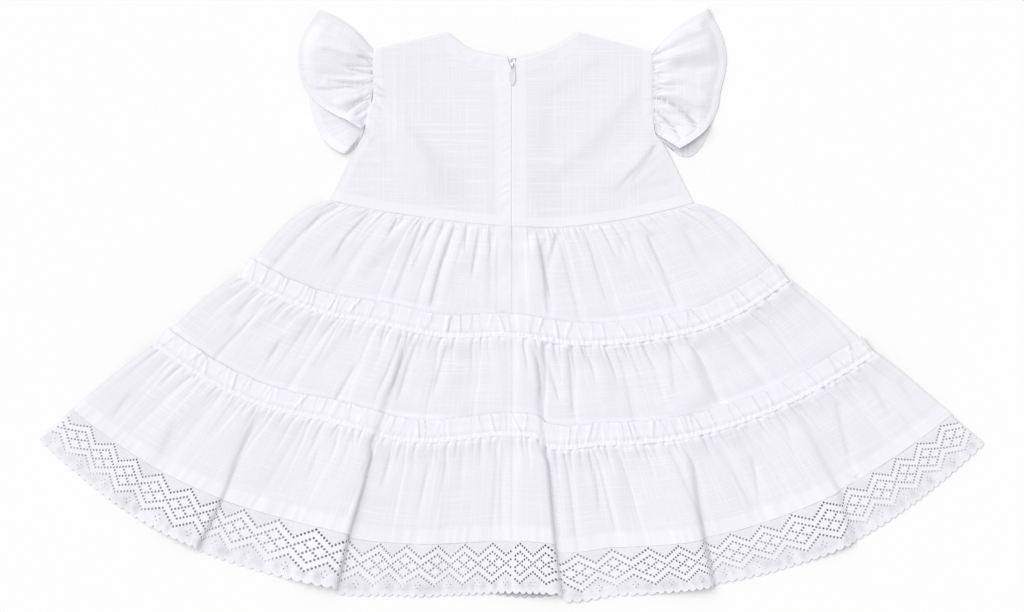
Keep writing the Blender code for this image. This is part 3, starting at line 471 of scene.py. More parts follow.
def gatherRelief(along, whole, below, kinds, seed):
    # Height and paleness of small uneven gathers along a gather line, where "below" is the distance down from it.
    # A trough is steeper on one side, and where a kind has a pale range the colour is made paler in a line beside it.
    rng = np.random.default_rng(seed)
    share = along / whole
    line = int(np.argmin(np.abs(below[:, 0])))
    length = float(whole[line][0])
    height, pale = np.zeros_like(along), np.zeros_like(along)
    for kind in kinds:
        place = rng.uniform(0, kind["spacing"][1])
        while place < length:
            depth, wide, run, lean, steep = (rng.uniform(*kind[key])
                                             for key in ("depth", "wide", "length", "lean", "steep"))
            if rng.uniform() < 0.5:
                steep = 1 / steep
            spread = kind.get("spread", 0.0)
            reach = (abs(lean) * run + 4 * wide * max(steep, 1 / steep) * (1 + spread * run)) / length + 0.004
            first, last = np.searchsorted(share[line], (place / length - reach, place / length + reach))
            if last > first:
                part = (slice(None), slice(first, last))
                down = below[part] if kind["side"] != "above" else -below[part]
                off = (share[part] - place / length) * whole - lean * down
                half = wide * (1 + spread * np.maximum(down, 0))
                ends = 1 - smooth(down, kind.get("full", 0.25) * run, run)
                ends = ends * (1 - smooth(-down, 0.3, 3.0 if kind["side"] == "both" else 1.2))
                ends = ends * smooth(down, kind["start"] - 0.8, kind["start"] + 0.8) if "start" in kind else ends
                bell = np.exp(-(np.abs(off) / (half * np.where(off > 0, steep, 1 / steep))) ** 1.25)
                height[part] -= depth * ends * bell
                if "pale" in kind:
                    beside = np.exp(-((off - np.copysign(1.5 * half, steep - 1)) / (0.7 * half)) ** 2)
                    pale[part] += rng.uniform(*kind["pale"]) * ends * beside
            place += rng.uniform(*kind["spacing"])
    return height, pale


def pleatRelief(along, whole, up, settings, seed):
    # Height and paleness of the flat little pleats in a heading. A pleat is a wedge that stands up at one edge.
    rng = np.random.default_rng(seed)
    length = float(whole[0][0])
    share = along / whole
    height, pale = np.zeros_like(along), np.zeros_like(along)
    place = rng.uniform(1, 6)
    while place < length:
        wide, lean = rng.uniform(*settings["wide"]), rng.uniform(*settings["lean"])
        rise, light = rng.uniform(*settings["rise"]), rng.uniform(*settings["pale"])
        narrow = rng.uniform(*settings["narrow"])
        opensUp, faces = rng.uniform() < 0.4, rng.uniform() < 0.5
        reach = settings["reach"]
        part = (slice(None), slice(*np.searchsorted(share[0], ((place - reach) / length, (place + reach) / length))))
        t = np.clip(up[part] / headingHeight, 0, 1)
        half = wide * (1 - narrow * (1 - t if opensUp else t))
        off = (share[part] - place / length) * whole - lean * up[part]
        q = off / np.maximum(half, 0.2)
        inside = edgeStep(q, settings["soft"]) * (1 - edgeStep(q - 1, settings["soft"]))
        slope = q if faces else 1 - q
        ends = smooth(up[part], *settings["start"])
        height[part] += rise * inside * np.clip(slope, 0, 1) * ends
        pale[part] += light * inside * ends
        foot = np.where(faces, off - half, off) + (0.5 if faces else -0.5)
        height[part] -= settings["foot"] * hump(foot, 0, settings["footWide"]) * ends
        # painted shade: a dark line along the pleat's foot
        line = settings["line"] * smooth(rise, *settings["lineFrom"])
        pale[part] -= line * hump(foot, 0, settings["lineWide"]) * ends
        place += rng.uniform(*settings["spacing"])
    return height, pale


tierLook = {
    "columnStep": 0.92,    # between columns half way down the tier
    # Distances of the rows below the gather line, then the spacing of the others
    "headingRows": (-18, -17.5, -16.6, -15.4, -14, -12.4, -10.8, -9.2, -7.6, -6.2, -5, -4, -3.1, -2.3, -1.6, -1, -0.5),
    "nearRows": (0, 0.5, 1.0, 1.5, 2.1, 2.8, 3.6, 4.5, 5.6, 7, 8.6, 10.4, 12.4, 14.6, 17, 19.6, 22.4),
    "farStep": 3.0,
    # Kinds of gathers, each value drawn from its range. "start" is where they begin, "full" the share of their length
    # that is at its full depth, "steep" how much narrower one side is, and "spread" how they widen on their way.
    "gathers": (
        {"side": "both", "spacing": (2.2, 4.6), "depth": (0.25, 0.6), "wide": (0.5, 0.75), "length": (2.0, 4.5),
         "lean": (-0.1, 0.1), "steep": (1, 1.3), "full": 0.4},
        {"side": "below", "start": 2.6, "spacing": (5, 17), "depth": (0.8, 1.6), "wide": (0.6, 0.9), "length": (4, 8),
         "lean": (-0.3, 0.3), "steep": (1, 1.4), "full": 0.5},
        {"side": "below", "start": 2.0, "spacing": (5, 10), "depth": (0.7, 1.7), "wide": (0.7, 1.3), "length": (9, 30),
         "lean": (-0.18, 0.18), "steep": (1, 2.2), "spread": 0.04, "pale": (0, 0.9)},
        {"side": "below", "start": 3.0, "spacing": (8, 20), "depth": (0.8, 1.7), "wide": (0.9, 1.8),
         "length": (30, 66), "lean": (-0.12, 0.12), "steep": (1, 2.5), "spread": 0.02, "pale": (0, 1.1)},
        {"side": "below", "start": 6.0, "spacing": (17, 42), "depth": (0.6, 1.4), "wide": (1.2, 3.2),
         "length": (80, 170), "lean": (-0.10, 0.10), "steep": (1, 2.6), "spread": 0.008, "full": 0.5,
         "pale": (0.2, 1.2)},
        {"side": "above", "spacing": (3.5, 8), "depth": (0.3, 0.8), "wide": (0.5, 0.9), "length": (3, 8),
         "lean": (-0.3, 0.3), "steep": (1, 1.6)},
    ),
    "pleats": {"spacing": (3.8, 9), "wide": (2.5, 6.5), "lean": (-0.30, 0.30), "rise": (0.5, 1.4), "pale": (0.0, 2.4),
               "narrow": (0.6, 1.0), "reach": 14, "soft": 0.12, "start": (0.2, 3.0),
               # "line" is painted shade along each pleat's foot
               "foot": 0.55, "footWide": 0.55, "line": 6.0, "lineWide": 0.5, "lineFrom": (0.5, 1.2)},
    "headingRise": (0.5, 7),    # from the gather line up, where the heading comes away from the tier
    "headingPale": 1.9,
    "headingPuff": 0.45,
    "headingLift": 0.7,
    "liftRun": (8, 18),    # its upper part stands a little higher
    "rightLight": 1.5,     # painted light: the right half's pale pleats are made paler still
    "uneven": 0.035,       # share by which the gather lines' rows wander
    "lapEnd": (1.5, 15),   # below the gather line the tier comes down from its lap
    "puff": 1.5,
    "puffRun": (0.5, 6),
    "puffEnd": (20, 70),
    "lowest": {"heading": -0.35, "waist": -0.4},    # troughs don't cut into the layer below
    "cord": {"rise": 0.60, "wide": 2.0, "pale": 2.3},
    "hemBand": 14.0,
    "hemLine": 0.22,       # depth of its sewn line
    "hemEase": 0.55,       # the doubled band takes this share of the gathers' height away
    "ripple": {"each": 3.2, "rise": 0.22, "pale": 0.8},
    "turning": {"deep": 22.5, "pale": (0.3, 2.9), "parts": 9},    # shows through above the next gather line
    "headingRoom": (18, 34),    # cloth under the next heading lies flat
    "flatRise": 0.55,
    "middle": {"ease": 9, "pale": 0.8, "at": 3.0, "wide": 2.2, "line": 2.5, "lineWide": 0.6},
    "zip": {"half": 13.2, "soft": 1.5, "ease": 0.8, "pucker": 0.55, "puckers": 19, "pale": 1.1, "line": 4.0},
    "roll": {"run": 6, "drop": 0.75},    # along the folded side of the tier
    "palest": 2.5,
    "hemWrinkles": (
        {"side": "below", "spacing": (3, 11), "depth": (0.1, 0.3), "wide": (0.5, 0.9), "length": (8, 21),
         "lean": (-0.2, 0.2), "steep": (1, 2), "pale": (0.3, 1.2), "full": 0.6},
    ),
    "waistGathers": (
        {"side": "below", "start": 0.8, "spacing": (2.8, 6.5), "depth": (0.7, 1.6), "wide": (0.5, 1.0),
         "length": (5, 22), "lean": (-0.2, 0.2), "steep": (1, 2), "spread": 0.03, "pale": (0, 0.8)},
        {"side": "below", "start": 1.0, "spacing": (7, 16), "depth": (0.9, 1.7), "wide": (0.8, 1.6),
         "length": (26, 70), "lean": (-0.12, 0.12), "steep": (1, 2.4), "spread": 0.02, "pale": (0, 1.0)},
        {"side": "below", "start": 4.0, "spacing": (18, 42), "depth": (0.6, 1.4), "wide": (1.3, 2.8),
         "length": (80, 150), "lean": (-0.08, 0.08), "steep": (1, 2.4), "spread": 0.01, "full": 0.5,
         "pale": (0.2, 1.1)},
    ),
    "gatherShare": (0.68, 1.25),    # the left half lies flatter than the right one
    "smallFolds": 0.32,    # share of the small folds' height that stays soft and round
}


# Creases placed one by one on each tier's back, at flat points
tierCreases = {
    0: ((-2.1, 1.3, 4, 1.5, 0.03, 0.05, (-49, 67), (-53, 56), (-60.5, 35), (-70, -4)),
        (0.9, 7, 4, 2, 0.2, 0.1, (-57, 60), (-66, 32), (-75, -2)),
        (-1.8, 1.3, 5, 1.5, 0.03, 0.3, (-69.5, 70), (-80, 44), (-88, 26)),
        (-1.5, 1.2, 3, 1.5, 0.05, 0.3, (-77, 73), (-81.5, 59)),
        (-1.5, 1.1, 2.4, 1.5, 0.05, 0.3, (-98, 75), (-107, 60)),
        (-1.1, 1.0, 2, 1.5, 0.05, 0.3, (-93, 74), (-102.5, 63)),
        (-1.5, 1.2, 3, 1.5, 0.03, 0.3, (-38, 69), (-41, 44)),
        (-1.5, 1.2, 4, 1.5, 0.03, 0.3, (-26.5, 67), (-31, 44), (-35, 20)),
        (-1.1, 1.2, 3, 1.5, 0.03, 0.3, (-18.8, 67), (-19, 47)),
        (-1.4, 1.5, 6, 1.5, 0.1, 0.1, (-80, 64), (-91, 35), (-104, 2)),
        (-2.2, 1.5, 4, 1.5, 0.05, 0.05, (22, 67), (28, 31), (33, -10)),
        (-1.6, 1.4, 4, 1.5, 0.1, 0.3, (40, 62), (30, 26)),
        (-1.7, 1.4, 6, 1.5, 0.05, 0.15, (66, 62), (74, 31), (86, -3)),
        (-0.8, 2.5, 5, 2, 0.3, 0.5, (94, 58), (99, 26)),
        (-1.8, 1.4, 6, 1.5, 0.1, 0.1, (117, 62), (135, 22), (145, -6)),
        (-1.0, 1.4, 5, 1.5, 0.1, 0.4, (101, 62), (113, 28)),
        (-1.2, 1.5, 5, 1.5, 0.1, 0.3, (149, 68), (167, 34)),
        (-1.3, 2, 6, 2, 0.1, 0.3, (170, 79), (206, 45)),
        (-0.8, 1.4, 4, 1.5, 0.3, 0.5, (-27, 58), (-33, 30)),
        (-1.5, 1.4, 5, 1.5, 0.05, 0.3, (-121.5, 81), (-145, 56), (-157, 35)),
        (-1.1, 1.3, 4, 1.5, 0.05, 0.3, (-148, 88), (-166, 77), (-181, 59)),
        (-1.5, 1.2, 3, 1.5, 0.03, 0.3, (15.5, 68), (20, 56)),
        (-0.9, 3, 6, 2, 0.3, 0.5, (160, 50), (186, 22)),
        (-0.8, 2.5, 2.5, 2, 0.3, 0.5, (-107, 78), (-100, 84), (-97, 70))),
    1: ((-1.1, 1.5, 5, 1.5, 0.3, 0.5, (-197, -26), (-217, -58)),
        (-1.3, 1.5, 6, 1.5, 0.2, 0.1, (-133, -50), (-154, -86)),
        (-0.9, 3, 6, 2, 0.3, 0.5, (-226, 3), (-252, -34)),
        (-1.3, 1.5, 6, 1.5, 0.1, 0.1, (-82, -32), (-91, -58), (-99, -85)),
        (-1.2, 1.5, 6, 1.5, 0.1, 0.2, (-56, -36), (-68, -79)),
        (-1.9, 1.5, 5, 1.5, 0.05, 0.1, (28, -34), (34, -58), (42, -85)),
        (-1.4, 1.5, 6, 1.5, 0.1, 0.1, (50, -37), (54, -99)),
        (-0.8, 1.5, 5, 1.5, 0.3, 0.5, (68, -40), (75, -80)),
        (-1.2, 1.5, 6, 1.5, 0.1, 0.2, (136, -32), (143, -84)),
        (2.3, 14, 7, 2, 0.25, 0.4, (148, -34), (162, -68), (172, -96)),
        (-1.2, 4, 6, 2, 0.1, 0.15, (160, -34), (175, -73), (184, -92)),
        (-1.3, 3, 8, 2, 0.3, 0.5, (193, -11), (240.5, -66)),
        (-0.9, 3, 7, 2, 0.3, 0.5, (215, -1), (252, -56)),
        (-0.9, 3, 7, 2, 0.3, 0.5, (239, 10), (292, -34))),
    2: ((-1.2, 1.5, 6, 1.5, 0.1, 0, (282, -84), (292, -128), (297, -150)),
        (-1.1, 1.5, 5, 1.5, 0.3, 0.5, (236, -101), (248, -136)),
        (-1.3, 1.5, 6, 1.5, 0.3, 0.5, (208, -122), (218, -188)),
        (-1.2, 1.5, 5, 1.5, 0.3, 0.5, (312, -68), (336, -108)),
        (-0.9, 1.5, 5, 1.5, 0.3, 0.5, (334, -62), (357, -96)),
        (-1.1, 1.5, 6, 1.5, 0.3, 0.5, (72, -134), (78, -192)),
        (-1.0, 1.5, 6, 1.5, 0.3, 0.5, (101, -140), (112, -180)),
        (-1.2, 2.2, 4, 2, 0.3, 0, (-8, -128), (-8, -200)),
        (-1.2, 1.5, 6, 1.5, 0.3, 0.5, (-71, -134), (-82, -190)),
        (-1.0, 1.5, 6, 1.5, 0.3, 0.5, (-104, -128), (-115, -166)),
        (-1.0, 4, 9, 2, 0.1, 0.2, (-218, -92), (-235, -128), (-247, -158)),
        (-1.1, 4, 9, 2, 0.3, 0.5, (-290, -100), (-306, -140)),
        (-0.9, 1.5, 6, 1.5, 0.3, 0.5, (-165, -120), (-180, -160)),
        (-0.9, 1.5, 6, 1.5, 0.3, 0.5, (-330, -76), (-350, -104))),
}
seeds = {-1: 11, 1: 23, "front": 37}    # of the back's left and right half, and of the front


def panelRows(tier, uMiddle):
    # distances below the tier's own line for its upper rows, then shares of the way to the next line
    upper = [-1.2, -0.5] + list(tierLook["nearRows"])
    if tier > 0:
        upper = upper[2:]
        upper = list(tierLook["headingRows"]) + upper
    length = float(tierLength(tier, np.array([uMiddle]))[0])
    count = int((length - upper[-1]) / tierLook["farStep"])
    return np.array(upper, float), np.linspace(0, 1, count + 1)[1:]


def lineAcross(grid, field, value):
    # Points of a grid, and their normals, where a field that grows or shrinks down each column reaches a value.
    normals = surfaceNormals(grid)
    points, ups = [], []
    for k in range(grid.shape[1]):
        run = field[:, k] - value
        hits = np.nonzero(run[:-1] * run[1:] <= 0)[0]
        if len(hits) and run[hits[0]] != run[hits[0] + 1]:
            j = hits[0]
            f = run[j] / (run[j] - run[j + 1])
            points.append(grid[j, k] * (1 - f) + grid[j + 1, k] * f)
            ups.append(normals[j, k])
    return np.array(points), np.array(ups)


stitchLook = {"long": 1.7, "pitch": 2.7, "wide": 0.30, "high": 0.24}


def stitchRow(points, ups, settings):    # corners and faces of small stitches along a line on the cloth
    steps = np.linalg.norm(np.diff(points, axis=0), axis=1)
    before = np.concatenate([[0], np.cumsum(steps)])
    places = np.arange(settings["pitch"], before[-1] - settings["pitch"] / 2, settings["pitch"])
    places = places + np.random.default_rng(len(places)).uniform(-0.4, 0.4, len(places))
    centre = np.stack([np.interp(places, before, points[:, k]) for k in range(3)], axis=1)
    up = np.stack([np.interp(places, before, ups[:, k]) for k in range(3)], axis=1)
    ahead = np.stack([np.interp(places + 0.5, before, points[:, k]) for k in range(3)], axis=1) \
        - np.stack([np.interp(places - 0.5, before, points[:, k]) for k in range(3)], axis=1)
    ahead /= np.linalg.norm(ahead, axis=1, keepdims=True)
    aside = np.cross(up, ahead)
    rings = ((-0.5, 0.0), (-0.34, 0.8), (0.0, 1.0), (0.34, 0.8), (0.5, 0.0))    # places along a stitch, and sizes
    corners, faces = [], []
    for c, u, a, s in zip(centre, up, ahead, aside):
        base = len(corners)
        for place, size in rings:
            for k in range(6 if size else 1):
                turn = math.pi / 3 * k
                corners.append(c + a * place * settings["long"] + s * math.cos(turn) * size * settings["wide"] / 2
                               + u * (math.sin(turn) * size * settings["high"] / 2 - 0.05 * (1 - size)))
        for k in range(6):
            n = (k + 1) % 6
            faces.append((base, base + 1 + n, base + 1 + k))
            faces.append((base + 1 + k, base + 1 + n, base + 7 + n, base + 7 + k))
            faces.append((base + 7 + k, base + 7 + n, base + 13 + n, base + 13 + k))
            faces.append((base + 13 + k, base + 13 + n, base + 19))
    return corners, faces


def sewStitches(name, rows, settings=stitchLook):    # one piece from several rows of stitches
    corners, faces = [], []
    for points, ups in rows:
        if len(points) < 3:
            continue
        more, moreFaces = stitchRow(points + ups * (clothThick / 2 + 0.04), ups, settings)
        faces += [tuple(v + len(corners) for v in face) for face in moreFaces]
        corners += more
    mesh = newMesh(name, corners, faces)
    mesh.shade_smooth()
    mesh.materials.append(sewingThread)
    build = bmesh.new()
    build.from_mesh(mesh)
    bmesh.ops.recalc_face_normals(build, faces=build.faces)
    build.to_mesh(mesh)
    build.free()
    piece = bpy.data.objects.new(name, mesh)
    bpy.context.scene.collection.objects.link(piece)
    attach(piece, "dress")
    return piece


def tierBack(tier, side, name):
    edge = halfWidth(tier + 0.5, side)
    columns = int(edge / tierLook["columnStep"])
    u = np.linspace(-1, 0, columns) if side < 0 else np.linspace(0, 1, columns)
    upper, far = panelRows(tier, 0.5 * side)
    seed = seeds[side]
    rng = np.random.default_rng(seed + 50 + tier)
    below = np.concatenate([np.repeat(upper[:, None], columns, axis=1),
                            upper[-1] + far[:, None] * (tierLength(tier, u)[None, :] - upper[-1])])
    wander = rng.uniform(-tierLook["uneven"], tierLook["uneven"], int(edge / 6))
    uneven = splineAt(wander, np.abs(u)) * smooth(np.abs(u) * edge, 0, 12)
    reach = np.where(below < 0, below * (1 + uneven), below)
    uGrid = np.repeat(u[None, :], len(below), axis=0)
    level = np.minimum(levelBelow(tier, reach, uGrid), tier + 1)
    base = backBase(uGrid, level)
    flareX, flareY = headingFlare(uGrid, np.clip(-below / headingHeight, 0, 1) if tier else 0.0 * below)
    base[..., 0] += flareX
    base[..., 1] += flareY
    over = 1 - smooth(below, *tierLook["lapEnd"]) if tier else np.zeros_like(below)
    along, whole = arcAcross(base)
    left = tierLength(tier, uGrid) - below          # distance up from the next line
    kinds = tierLook["gathers"] if tier else tierLook["waistGathers"]
    height, pale = gatherRelief(along, whole, below, kinds, seed + tier)
    height *= tierLook["gatherShare"][0 if side < 0 else 1]
    height += creaseHeight(base[..., 0], base[..., 1], tierCreases[tier])
    height += tierLook["puff"] * smooth(below, *tierLook["puffRun"]) * (1 - 0.5 * smooth(below, *tierLook["puffEnd"]))
    if tier:
        cord = tierLook["cord"]
        ridge = np.exp(-((below - 0.3) / cord["wide"]) ** 4)
        heading = smooth(-below, *tierLook["headingRise"])
        pleats, pleatPale = pleatRelief(along, whole, np.maximum(-below, 0), tierLook["pleats"], seed + 7 * tier)
        height += ridge * cord["rise"] + heading * (tierLook["headingPuff"] + pleats * (below < 0)
                                                    + tierLook["headingLift"] * smooth(-below, *tierLook["liftRun"]))
        height = np.where(below < 1.5, np.maximum(height, tierLook["lowest"]["heading"]), height)
        # painted light: the right half's pale pleats are made paler still
        light = tierLook["rightLight"] if side > 0 else 1.0
        pleatPale = np.where(pleatPale > 0, light, 1.0) * pleatPale
        pale += np.maximum(ridge * cord["pale"], heading * tierLook["headingPale"]) + pleatPale * (below < 0)
    else:
        height = np.maximum(height, tierLook["lowest"]["waist"])
        height -= 0.35 * (1 - smooth(below, -0.6, 0.5))    # its edge is under the bodice's
        base[..., 0] += 0.08 * side * (1 - smooth(np.abs(base[..., 0]), 0, 2)) * smooth(base[..., 1], 52, 58)
    if tier < 2:
        height = np.minimum(height, tierLook["flatRise"] + 3 * smooth(left, *tierLook["headingRoom"]))
        turning = tierLook["turning"]
        tones = np.random.default_rng(300 + 10 * tier + side).uniform(*turning["pale"], turning["parts"])
        pale += splineAt(tones, np.abs(u)) * (1 - smooth(left, turning["deep"], turning["deep"] + 1))
    else:
        ripples = tierLook["ripple"]
        band = edgeStep(tierLook["hemBand"] - left, 0.4)
        wrinkles, wrinklePale = gatherRelief(along[::-1], whole[::-1], left[::-1], tierLook["hemWrinkles"], seed + 90)
        height += wrinkles[::-1]
        pale += wrinklePale[::-1]
        ripple = splineAt(rng.uniform(-1, 1, int(edge / ripples["each"])), along / whole)
        height = height * (1 - tierLook["hemEase"] * band) + band * (0.25 + ripples["rise"] * ripple)
        height -= tierLook["hemLine"] * hump(left, tierLook["hemBand"], 0.9)
        pale = pale * (1 - 0.4 * band) + band * (1.3 + ripples["pale"] * np.maximum(ripple, 0))
    x, y = base[..., 0], base[..., 1]
    middle, zipEdge = tierLook["middle"], tierLook["zip"]
    height = height * smooth(np.abs(x), 0, middle["ease"])
    if tier == 0:
        zipBand = edgeStep(zipEdge["half"] - np.abs(x), zipEdge["soft"])
        puckers = splineAt(rng.uniform(-1, 1, zipEdge["puckers"]), (y + 0.5 * np.abs(x) + 40) / 120)
        height = height * (1 - zipEdge["ease"] * zipBand) + zipEdge["pucker"] * puckers * hump(np.abs(x), 6, 4)
        pale = pale * (1 - zipBand) + zipEdge["pale"] * zipBand - zipEdge["line"] * hump(x, 0, middle["lineWide"])
    else:
        pale += middle["pale"] * hump(np.abs(x), middle["at"], middle["wide"]) \
            - middle["line"] * hump(x, 0, middle["lineWide"])
    rolled = smooth(along if side < 0 else whole - along, 0, tierLook["roll"]["run"])
    height -= tierLook["roll"]["drop"] * (1 - rolled)
    grid = base + surfaceNormals(base) * (wallMiddle + layerStep * over + height)[..., None]
    grid[..., 2] = np.maximum(grid[..., 2], 0.9)
    cut = tierCuts[tier]
    pattern = np.stack([uGrid * cut["wide"] * weaveScale + 500 * tier, -below], axis=-1)
    piece = makeSheet(name, grid, pattern, np.minimum(pale, tierLook["palest"]), cotton, name)
    rows = [lineAcross(grid, below, 0.3)] if tier else []
    if tier == 2:
        rows += [lineAcross(grid, left, tierLook["hemBand"] - 1.0)]
    stitches = [sewStitches(name + "_stitches", rows)] if rows else []
    return piece


def tierFront(tier, name):
    settings = {"columns": 210, "rows": 24, "inset": 0.6, "height": 0.5, "gather": (0.1, 0.3), "skip": 2,
                "relief": (-0.45, 0.3), "share": 0.6, "lowest": 0.25, "thick": 0.4}
    u = np.linspace(-1, 1, settings["columns"]) * (1 - settings["inset"] / halfWidth(tier + 0.5, 1))
    share = np.linspace(0, 1, settings["rows"])
    start = -headingHeight if tier else 0.15
    below = start + share[:, None] * (tierLength(tier, u)[None, :] - start)
    uGrid = np.repeat(u[None, :], settings["rows"], axis=0)
    level = np.minimum(levelBelow(tier, below, uGrid), tier + 1)
    x, y = flatPlace(uGrid, level, front=True)
    flareX, flareY = headingFlare(uGrid, np.clip(-below / headingHeight, 0, 1) if tier else 0.0 * below)
    climbs = np.where(level < tier + 0.5, 0, lapShare(uGrid, level, *skirt["frontLap"])) if tier < 2 else 0 * x
    base = np.stack([x + flareX, y + flareY, settings["height"] + layerStep * climbs], axis=-1)
    along, whole = arcAcross(base)
    kinds = [dict(kind, depth=settings["gather"])
             for kind in (tierLook["gathers"] if tier else tierLook["waistGathers"])[settings["skip"]:]]
    relief = gatherRelief(along, whole, below, kinds, seeds["front"] + tier)[0]
    relief = np.clip(relief, *settings["relief"]) * settings["share"]
    base[..., 2] = np.maximum(base[..., 2] - relief * (1 - climbs), settings["lowest"])
    cut = tierCuts[tier]
    pattern = np.stack([uGrid * cut["wide"] * weaveScale, -below], axis=-1)
    left = tierLength(tier, uGrid) - below
    doubled = edgeStep(tierLook["hemBand"] - left, 0.4) * (tier == 2)
    piece = makeSheet(name, base, pattern, doubled, cotton, name, settings["thick"])
    return piece


# Flat cuts of the tiers in metres, the width for the whole front or back
tierCuts = ({"wide": 0.54, "long": 0.106, "front": "tier_1_front_cloth"},
            {"wide": 0.74, "long": 0.111, "front": "tier_2_front_cloth"},
            {"wide": 0.89, "long": 0.125, "front": "tier_3_front_cloth"})
for tier in range(3):
    stem = f"tier_{tier + 1}"
    tierFront(tier, f"{stem}_front")
    for side, end in ((-1, "left"), (1, "right")):
        tierBack(tier, side, f"{stem}_back_{end}")
print("tiers ready")


lace = {
    "pitch": 30.0,         # one repeat
    "height": 44.0,        # hem seam to scalloped edge
    "tuck": 2.5,           # of it under the hem
    "rise": 10.0,          # of a zigzag
    "zigzags": ((12.3, -1), (19.3, -1), (19.3, 1), (26.4, 1)),    # depth at the start of a repeat, and direction
    "holeStep": 3.0,
    "hole": (1.02, 1.16),  # half its length along a row of holes, and half its width
    "spots": ((0.0, 33.0), (-0.07, 35.6), (0.07, 35.6), (0.0, 38.2)),
    "spotHole": (0.52, 0.46),
    "mottles": ({"depth": 37.5, "wide": 3.0, "range": (-2.0, 1.6), "perRepeat": 8},
                {"depth": 41.5, "wide": 2.2, "range": (-2.6, 1.4), "perRepeat": 11}),
    "scallops": 4,
    "scallopDepth": 3.0,
    "stand": 0.25,         # the edging's middle is this far above the cloth's
    "underHem": 0.45,      # and its upper edge this far below that
    "droop": {"far": 0.95, "run": (14, 38)},    # the scalloped edge comes down nearly to the front's edging
    "lift": 0.9,           # but rises over it where that shows
    "tip": {"far": 0.4, "run": (41, 46)},
    "overlap": 0.12,       # the right piece lies on the end of the left one
    "rim": {"wide": 0.8, "pale": 1.3},
    # closely worked places, in repeats across and in rises down from the diamonds' middle
    "knots": {"at": ((0.5, -0.5), (0.5, 0.5), (0.25, 0), (0.75, 0)), "size": (2.6, 2.1), "pale": 1.6},
    "shadow": {"x": 12, "run": (20, 75), "dark": 4.0},    # on the front's edging, under the back
    "thick": 0.5,
    "fill": 2.6,           # spacing of the points between the holes
    "coarser": 1.8,        # and of the front's
    "edgeFill": 0.85,
    "clear": 1.1,          # from a hole to the next point
    "sides": 6,
    # repeats counted along the edging, at places across its upper edge
    "backPhase": {"x": (-397, -233.6, -203.1, -173.6, -143.1, -114.4, -91.3, -63.9, -40.5, -16.4, 5.7, 25.7, 57.9,
                        87.4, 117.9, 140.5, 163.1, 191, 217.9, 244, 269.7, 293.6, 397),
                  "repeat": (-15.3, -8.5, -7.5, -6.5, -5.5, -4.5, -3.5, -2.5, -1.5, -0.5, 0.5, 1.5, 2.5,
                             3.5, 4.5, 5.5, 6.5, 7.5, 8.5, 9.5, 10.5, 11.5, 16.0)},
    "frontPhase": {"x": (-397, 397), "repeat": (-14.4, 14.4)},
    "fan": 1.029,          # the middle of the edging is this much wider than its upper edge
    "frontShort": 0.88,    # the front's edging stays behind the back's
}


def zigzag(a):    # 0 at the start of a repeat and 1 half way along it
    return 1 - abs(2 * (a % 1.0) - 1)


def laceHoles(first, last):    # centre, direction and half sizes of each hole, in repeats and millimetres
    holes = []
    steps = round(math.hypot(lace["pitch"] / 2, lace["rise"]) / lace["holeStep"])
    slope = math.atan2(lace["rise"], lace["pitch"] / 2)
    for n in range(math.floor(first) - 1, math.ceil(last) + 1):
        for depth, way in lace["zigzags"]:
            for k in range(2 * steps):
                if way > 0 and depth == lace["zigzags"][1][0] and k == 0:
                    continue    # the two diamonds' tips share a hole
                a = k / (2 * steps)
                turn = way * slope * (1 if k < steps else -1) if k % steps else 0.0
                holes.append((n + a, depth + way * lace["rise"] * zigzag(a), turn, lace["hole"]))
        middle = lace["zigzags"][1][0]
        for k in range(1, steps):
            a = 0.25 + 0.5 * k / steps
            fall = lace["rise"] * 2 * (a - 0.5)
            holes.append((n + a, middle + fall, slope, lace["hole"]))
            if k != steps / 2:
                holes.append((n + a, middle - fall, -slope, lace["hole"]))
        for a, depth in lace["spots"]:
            holes.append((n + a, depth, 0.0, lace["spotHole"]))
    margin = 1.15 / lace["pitch"]
    return [hole for hole in holes if first + margin < hole[0] < last - margin]


def laceEdge(a):    # depth of the scalloped edge
    swing = abs(math.sin(math.pi * lace["scallops"] * a)) ** 0.55
    return lace["height"] - 1.2 + lace["scallopDepth"] * swing


def laceCut(first, last, coarse):    # flat lace between two places, in repeats, as points and triangles
    points, faces = [], []
    for a, depth, turn, half in laceHoles(first, last):
        loop = []
        sides = lace["sides"] - coarse
        for k in range(sides):
            angle = 2 * math.pi * k / sides
            dx, dy = half[0] * math.cos(angle), half[1] * math.sin(angle)
            loop.append(len(points))
            points.append((a * lace["pitch"] + dx * math.cos(turn) - dy * math.sin(turn),
                           depth + dx * math.sin(turn) + dy * math.cos(turn)))
        faces.append(loop)
    cut = len(faces)
    edge = []
    count = int((last - first) * lace["pitch"] / lace["edgeFill"])
    for k in range(count + 1):
        a = first + (last - first) * k / count
        edge.append((a * lace["pitch"], laceEdge(a)))
    for a in np.linspace(last, first, count // 3):
        edge.append((a * lace["pitch"], -lace["tuck"]))
    faces.append(list(range(len(points), len(points) + len(edge))))
    points += edge[::-1]
    holePoints = np.array(points[:sum(len(face) for face in faces[:cut])])
    fill = lace["fill"] * (lace["coarser"] if coarse else 1)
    across = int((last - first) * lace["pitch"] / fill)
    down = int((lace["height"] + lace["tuck"]) / fill)
    for k in range(1, across):
        for j in range(1, down):
            place = ((first + (last - first) * (k + 0.5 * (j % 2) - 0.25) / across) * lace["pitch"],
                     -lace["tuck"] + (lace["height"] - 2.5 + lace["tuck"]) * j / down)
            if np.abs(holePoints - place).sum(axis=1).min() > lace["clear"]:
                points.append(place)
    found = geometry.delaunay_2d_cdt([Vector(p) for p in points], [], faces, 0, 1e-5)
    kept = [face for face, origin in zip(found[2], found[5]) if cut in origin and len(origin) == 1]
    used = sorted({v for face in kept for v in face})
    renumber = {v: k for k, v in enumerate(used)}
    return np.array([tuple(found[0][v]) for v in used]), [[renumber[v] for v in face] for face in kept]


